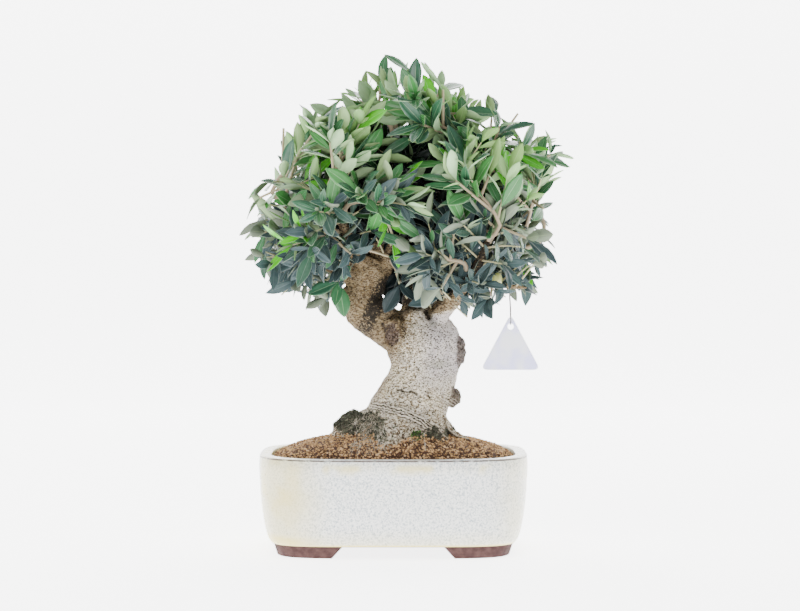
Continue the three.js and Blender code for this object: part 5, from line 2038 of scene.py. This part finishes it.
def whole_crown():
    """The sprays with their solid leaves and the finer ones between them, grown once."""
    if GROWN:
        return GROWN
    sprays = grow_crown(Crowd(8))
    space = Space()
    for spray in sprays:
        roll = dice(SEED * 31 + spray["owner"])
        spray["fine"] = []
        spray["twigs"] = [stations(line, 8) for line, _ in spray["shoots"]]
        for leaf in spray["leaves"]:
            space.fill(blade_points(leaf))
            leaf_look(leaf, roll, 0.0)
    for spray in sprays:
        roll = dice(SEED * 17 + spray["owner"])
        stem = spray["shoots"][0][0]
        high = stem[-1][2] > 250
        for number, (line, _) in enumerate(spray["shoots"]):
            young = 1.0 if high and roll() < YOUNG_SHARE else 0.0
            dress_shoot(space, spray, line, 0.5 if number == 0 else 0.35, roll, young)
        spin = 2 * pi * roll()
        for k, t in enumerate(INNER_SHOOTS):
            at, axis, radius = on_line(stem, t)
            reach = mix(*INNER_REACH, roll()) * mix(1.1, 0.8, t)
            shoot = thin_shoot(at, axis, min(radius, 1.0), mix(0.5, 1, roll()), spin + 2.4 * k, reach, 0)
            young = 1.0 if high and roll() < YOUNG_SHARE else 0.0
            if space.holds(np.array([p[:3] for p in shoot])):
                if dress_shoot(space, spray, shoot, 0.3, roll, young) > 1:
                    spray["twigs"].append(shoot)
    front_leaves(space, sprays)
    low_shoots(space, sprays)
    GROWN.extend(sprays)
    return GROWN


def leaf_shape(name, fold, curl, twist):
    """A thin closed blade of unit length and width on a short stalk, folded along its midrib."""
    lengths = (0.0, 0.07, 0.2, 0.4, 0.62, 0.8, 0.93, 1.0)
    thick = 0.018
    layers, faces, points, marks = [], [], [], []
    for side, columns in ((1, (-1.0, -0.5, 0.0, 0.5, 1.0)), (0, (-1.0, 0.0, 1.0))):
        layers.append([])
        for u in lengths:
            s = max(0, (u - 0.05) / 0.95)
            half = max(0.04, 0.5 * sin(pi * s**1.15) ** 0.82) if u < 1 else 0.02
            layers[-1].append(range(len(points), len(points) + len(columns)))
            for v in columns:
                y = half * v
                z = fold * abs(y) - curl * sin(pi * s) * 0.5 + thick * (side - 0.5) * 2
                a = twist * (u - 0.3)
                points.append((u, y * cos(a) - z * sin(a), y * sin(a) + z * cos(a)))
                marks.append((u, v, side))
    upper, under = layers
    for r in range(len(lengths) - 1):
        for layer, flip in ((upper, False), (under, True)):
            for c in range(len(layer[r]) - 1):
                face = (layer[r][c], layer[r + 1][c], layer[r + 1][c + 1], layer[r][c + 1])
                faces.append(face[::-1] if flip else face)
        for c, flip in ((0, False), (-1, True)):
            edge = (upper[r][c], under[r][c], under[r + 1][c], upper[r + 1][c])
            faces.append(edge[::-1] if flip else edge)
    faces += [(*upper[0], *reversed(under[0])), (*reversed(upper[-1]), *under[-1])]
    made = small_shape(name, points, [f[::-1] for f in faces])
    made.data.polygons.foreach_set("use_smooth", [True] * len(faces))
    for label, values in zip(("along", "across", "side"), zip(*marks)):
        store(made.data, label, values)
    return made


def spray_tree(kinds):
    """Rounds the shoots of a spray and sets a blade on each leaf's place."""
    sockets = {"Bark": "Material", "Blade": "Material"} | numbered(["Object"] * kinds)
    tree, given, out = geometry_tree("leafy_spray", sockets)
    values = {"Geometry": given["Geometry"], "Selection": maths("GREATER_THAN", named(tree, "is_leaf"), 0.5)}
    parts = node(tree, "GeometryNodeSeparateGeometry", values, domain="POINT").outputs
    wood = clad(tree, rounded(tree, parts["Inverted"], 6), given["Bark"])
    values = {"Points": parts["Selection"], "Instance": choice(tree, given, kinds), "Pick Instance": True}
    values |= {
        "Instance Index": named(tree, "shape", "INT"),
        "Rotation": named(tree, "turn", "FLOAT_VECTOR"),
        "Scale": named(tree, "size", "FLOAT_VECTOR"),
    }
    blades = realized(tree, node(tree, "GeometryNodeInstanceOnPoints", values).outputs[0])
    reach = named(tree, "along")
    values = {
        0: named(tree, "leaf_up", "FLOAT_VECTOR"), "Scale": times(times(reach, reach), named(tree, "drop"))
    }
    down = node(tree, "ShaderNodeVectorMath", values, operation="SCALE").outputs[0]
    bent = node(tree, "GeometryNodeSetPosition", {"Geometry": blades, "Offset": down}).outputs[0]
    tree.links.new(joined(tree, [clad(tree, bent, given["Blade"]), wood]), out["Geometry"])
    return tree


def spray_mesh(name, spray, kinds):
    """The shoots as lines and the leaves as single points, with all that the spray's tree reads."""
    points, edges, thick, youth = [], [], [], []
    for line in spray["twigs"]:
        for k, p in enumerate(line):
            if k:
                edges.append((len(points) - 1, len(points)))
            points.append(p[:3])
            thick.append(p[3] * MM)
            youth.append(clamped((1.3 - p[3]) / 0.7))
    wood = len(points)
    leaves = spray["leaves"] + spray["fine"]
    points += [leaf["root"] for leaf in leaves]
    made = mesh_object(name, points, [], edges)
    turns = [Matrix((leaf["axis"], leaf["side"], leaf["up"])).transposed().to_euler() for leaf in leaves]
    mesh, blank, zero = made.data, [0.0] * wood, [(0, 0, 0)] * wood
    store(mesh, "is_leaf", blank + [1.0] * len(leaves))
    store(mesh, "thick", thick + [0.0] * len(leaves))
    store(mesh, "youth", youth + [0.0] * len(leaves))
    store(mesh, "turn", zero + [tuple(t) for t in turns], "FLOAT_VECTOR")
    sizes = [(leaf["length"] * MM, leaf["width"] * MM, leaf["width"] * MM) for leaf in leaves]
    store(mesh, "size", zero + sizes, "FLOAT_VECTOR")
    store(mesh, "leaf_up", zero + [leaf["up"] for leaf in leaves], "FLOAT_VECTOR")
    store(mesh, "drop", blank + [-leaf["bend"] * leaf["length"] * MM for leaf in leaves])
    for label in ("tone", "lift", "young", "inner"):
        store(mesh, label, blank + [leaf[label] for leaf in leaves])
    store(mesh, "shape", [0] * wood + [k * 7 % kinds for k in range(len(leaves))], "INT")
    return made


class BONSAI_OT_foliage(bpy.types.Operator):
    """Dresses every spray in fine twigs and narrow leaves"""

    bl_idname = "bonsai.foliage"
    bl_label = "Foliage"

    def execute(self, context):
        look = context.scene.bonsai_leaf
        green, bark = leaf_material(look), twig_material(look)
        shapes = [
            leaf_shape("leaf_plain", 0.28, 0.0, 0.0),
            leaf_shape("leaf_cupped", 0.45, 0.03, 0.25),
            leaf_shape("leaf_turned", 0.18, -0.02, -0.45),
            leaf_shape("leaf_flat", 0.08, 0.02, 0.3),
        ]
        tree = spray_tree(len(shapes))
        for spray in whole_crown():
            number = spray["owner"] + 1
            height = spray["shoots"][0][0][-1][2]
            level = "leaf_silver" if height > 300 else "leaf_green" if height > 250 else "leaf_shade"
            made = spray_mesh(f"foliage_{number:02d}", spray, len(shapes))
            with_nodes(made, tree, Bark=bark, Blade=green, **numbered(shapes))
            finished(made, None, level, [f"spray_{number:02d}"])
        removed(shapes)
        return {"FINISHED"}


def olive_body(centre, axis):
    """The points and faces of an olive, a little fuller towards its tip."""
    across = sideways(axis, 0)
    other = cross(axis, across)
    rings = []
    for r in range(25):
        a = pi * (r + 0.04) / 24.08
        wide = sin(a) ** 0.94 * OLIVE_WIDTH / 2 * (1 - 0.05 * cos(a))
        at = added(centre, axis, -cos(a) * OLIVE_LENGTH / 2)
        rings.append([beside(at, across, other, wide, 2 * pi * i / 32) for i in range(32)])
    return skin(rings)


class BONSAI_OT_olives(bpy.types.Operator):
    """Hangs the two green olives on their stalks"""

    bl_idname = "bonsai.olives"
    bl_label = "Olives"

    def execute(self, context):
        skin_of_fruit = olive_material(context.scene.bonsai_leaf)
        fruit = [olive for spray in whole_crown() for olive in spray["fruit"]]
        for k, (centre, axis, stalk) in enumerate(fruit):
            bodies = [olive_body(centre, axis), tube([mixed(*stalk, s / 6) for s in range(7)], 8)]
            made = mesh_object(f"olive_{k + 1}", *merged(bodies))
            stalk_from = len(bodies[0][0])
            marks = [1.0 if i >= stalk_from else 0.0 for i in range(len(made.data.vertices))]
            store(made.data, "stalk", marks)
            finished(made, skin_of_fruit, "leaf_green")
        return {"FINISHED"}


# ---------------------------------------------------------------- stage


def sweep_paper(material):
    """One sheet of paper: a wide floor that curves up behind into a backdrop."""
    section = [(PAPER_FRONT, 0), (PAPER_BEND, 0)]
    for k in range(1, 13):
        a = pi / 2 * k / 12
        section.append((PAPER_BEND + PAPER_ROUND * sin(a), PAPER_ROUND * (1 - cos(a))))
    section.append((PAPER_BEND + PAPER_ROUND, PAPER_TOP))
    points = [(x, y, z + FLOOR) for y, z in section for x in (-PAPER_HALF, PAPER_HALF)]
    faces = [(2 * k, 2 * k + 1, 2 * k + 3, 2 * k + 2) for k in range(len(section) - 1)]
    made = mesh_object("paper", points, faces)
    made.data.materials.append(material)
    made.data.polygons.foreach_set("use_smooth", [True] * len(made.data.polygons))


def lamp(name, at, size, power):
    light = bpy.data.lights.new(name, "AREA")
    light.shape = "DISK"
    light.size = size
    light.energy = power
    made = in_scene(name, light)
    made.location = at
    made.rotation_euler = (Vector(LAMP_AIM) - Vector(at)).to_track_quat("-Z", "Y").to_euler()


class BONSAI_OT_stage(bpy.types.Operator):
    """Sets up the camera, the pale paper sweep and the soft lamps"""

    bl_idname = "bonsai.stage"
    bl_label = "Stage"

    def execute(self, context):
        look = context.scene.bonsai_stage
        data = bpy.data.cameras.new("camera")
        data.lens = CAMERA_LENS
        data.clip_end = 50
        camera = in_scene("camera", data)
        camera.location = placed([(CAMERA_RIGHT, -CAMERA_BACK, CAMERA_HEIGHT)])[0]
        camera.rotation_euler = (math.radians(90 - CAMERA_DROP), 0, 0)
        context.scene.camera = camera
        sweep_paper(paper_material(look))
        lamp("key", (-1.1, -1.5, 1.9), 1.3, look.key)
        lamp("fill", (1.6, -1.2, 1.0), 1.6, look.fill)
        world = context.scene.world or bpy.data.worlds.new("sky")
        context.scene.world = world
        world.use_nodes = True
        back = world.node_tree.nodes["Background"]
        back.inputs["Color"].default_value = (1, 1, 1, 1)
        back.inputs["Strength"].default_value = look.sky
        return {"FINISHED"}


# ---------------------------------------------------------------- panel and registration

OPERATORS = [
    BONSAI_OT_stage,
    BONSAI_OT_tag,
    BONSAI_OT_pot,
    BONSAI_OT_screens,
    BONSAI_OT_trunk,
    BONSAI_OT_soil,
    BONSAI_OT_cover,
    BONSAI_OT_foliage,
    BONSAI_OT_olives,
]


class BONSAI_PT_panel(bpy.types.Panel):
    """The bonsai's pieces and their settings"""

    bl_idname = "BONSAI_PT_panel"
    bl_label = "Olive bonsai"
    bl_space_type = "VIEW_3D"
    bl_region_type = "UI"
    bl_category = "Bonsai"

    def draw(self, context):
        for group, settings in SETTINGS.items():
            box = self.layout.box()
            box.label(text=group.replace("bonsai_", "").capitalize())
            for name in settings.__annotations__:
                box.prop(getattr(context.scene, group), name)
        for operator in OPERATORS:
            self.layout.operator(operator.bl_idname)


CLASSES = [*SETTINGS.values(), *OPERATORS, BONSAI_PT_panel]


def register():
    for one in CLASSES:
        bpy.utils.register_class(one)
    for group, settings in SETTINGS.items():
        setattr(bpy.types.Scene, group, bpy.props.PointerProperty(type=settings))


def unregister():
    for group in SETTINGS:
        delattr(bpy.types.Scene, group)
    for one in reversed(CLASSES):
        bpy.utils.unregister_class(one)


def main():
    register()
    for operator in OPERATORS:
        group, name = operator.bl_idname.split(".")
        getattr(getattr(bpy.ops, group), name)()


if __name__ == "__main__":
    main()
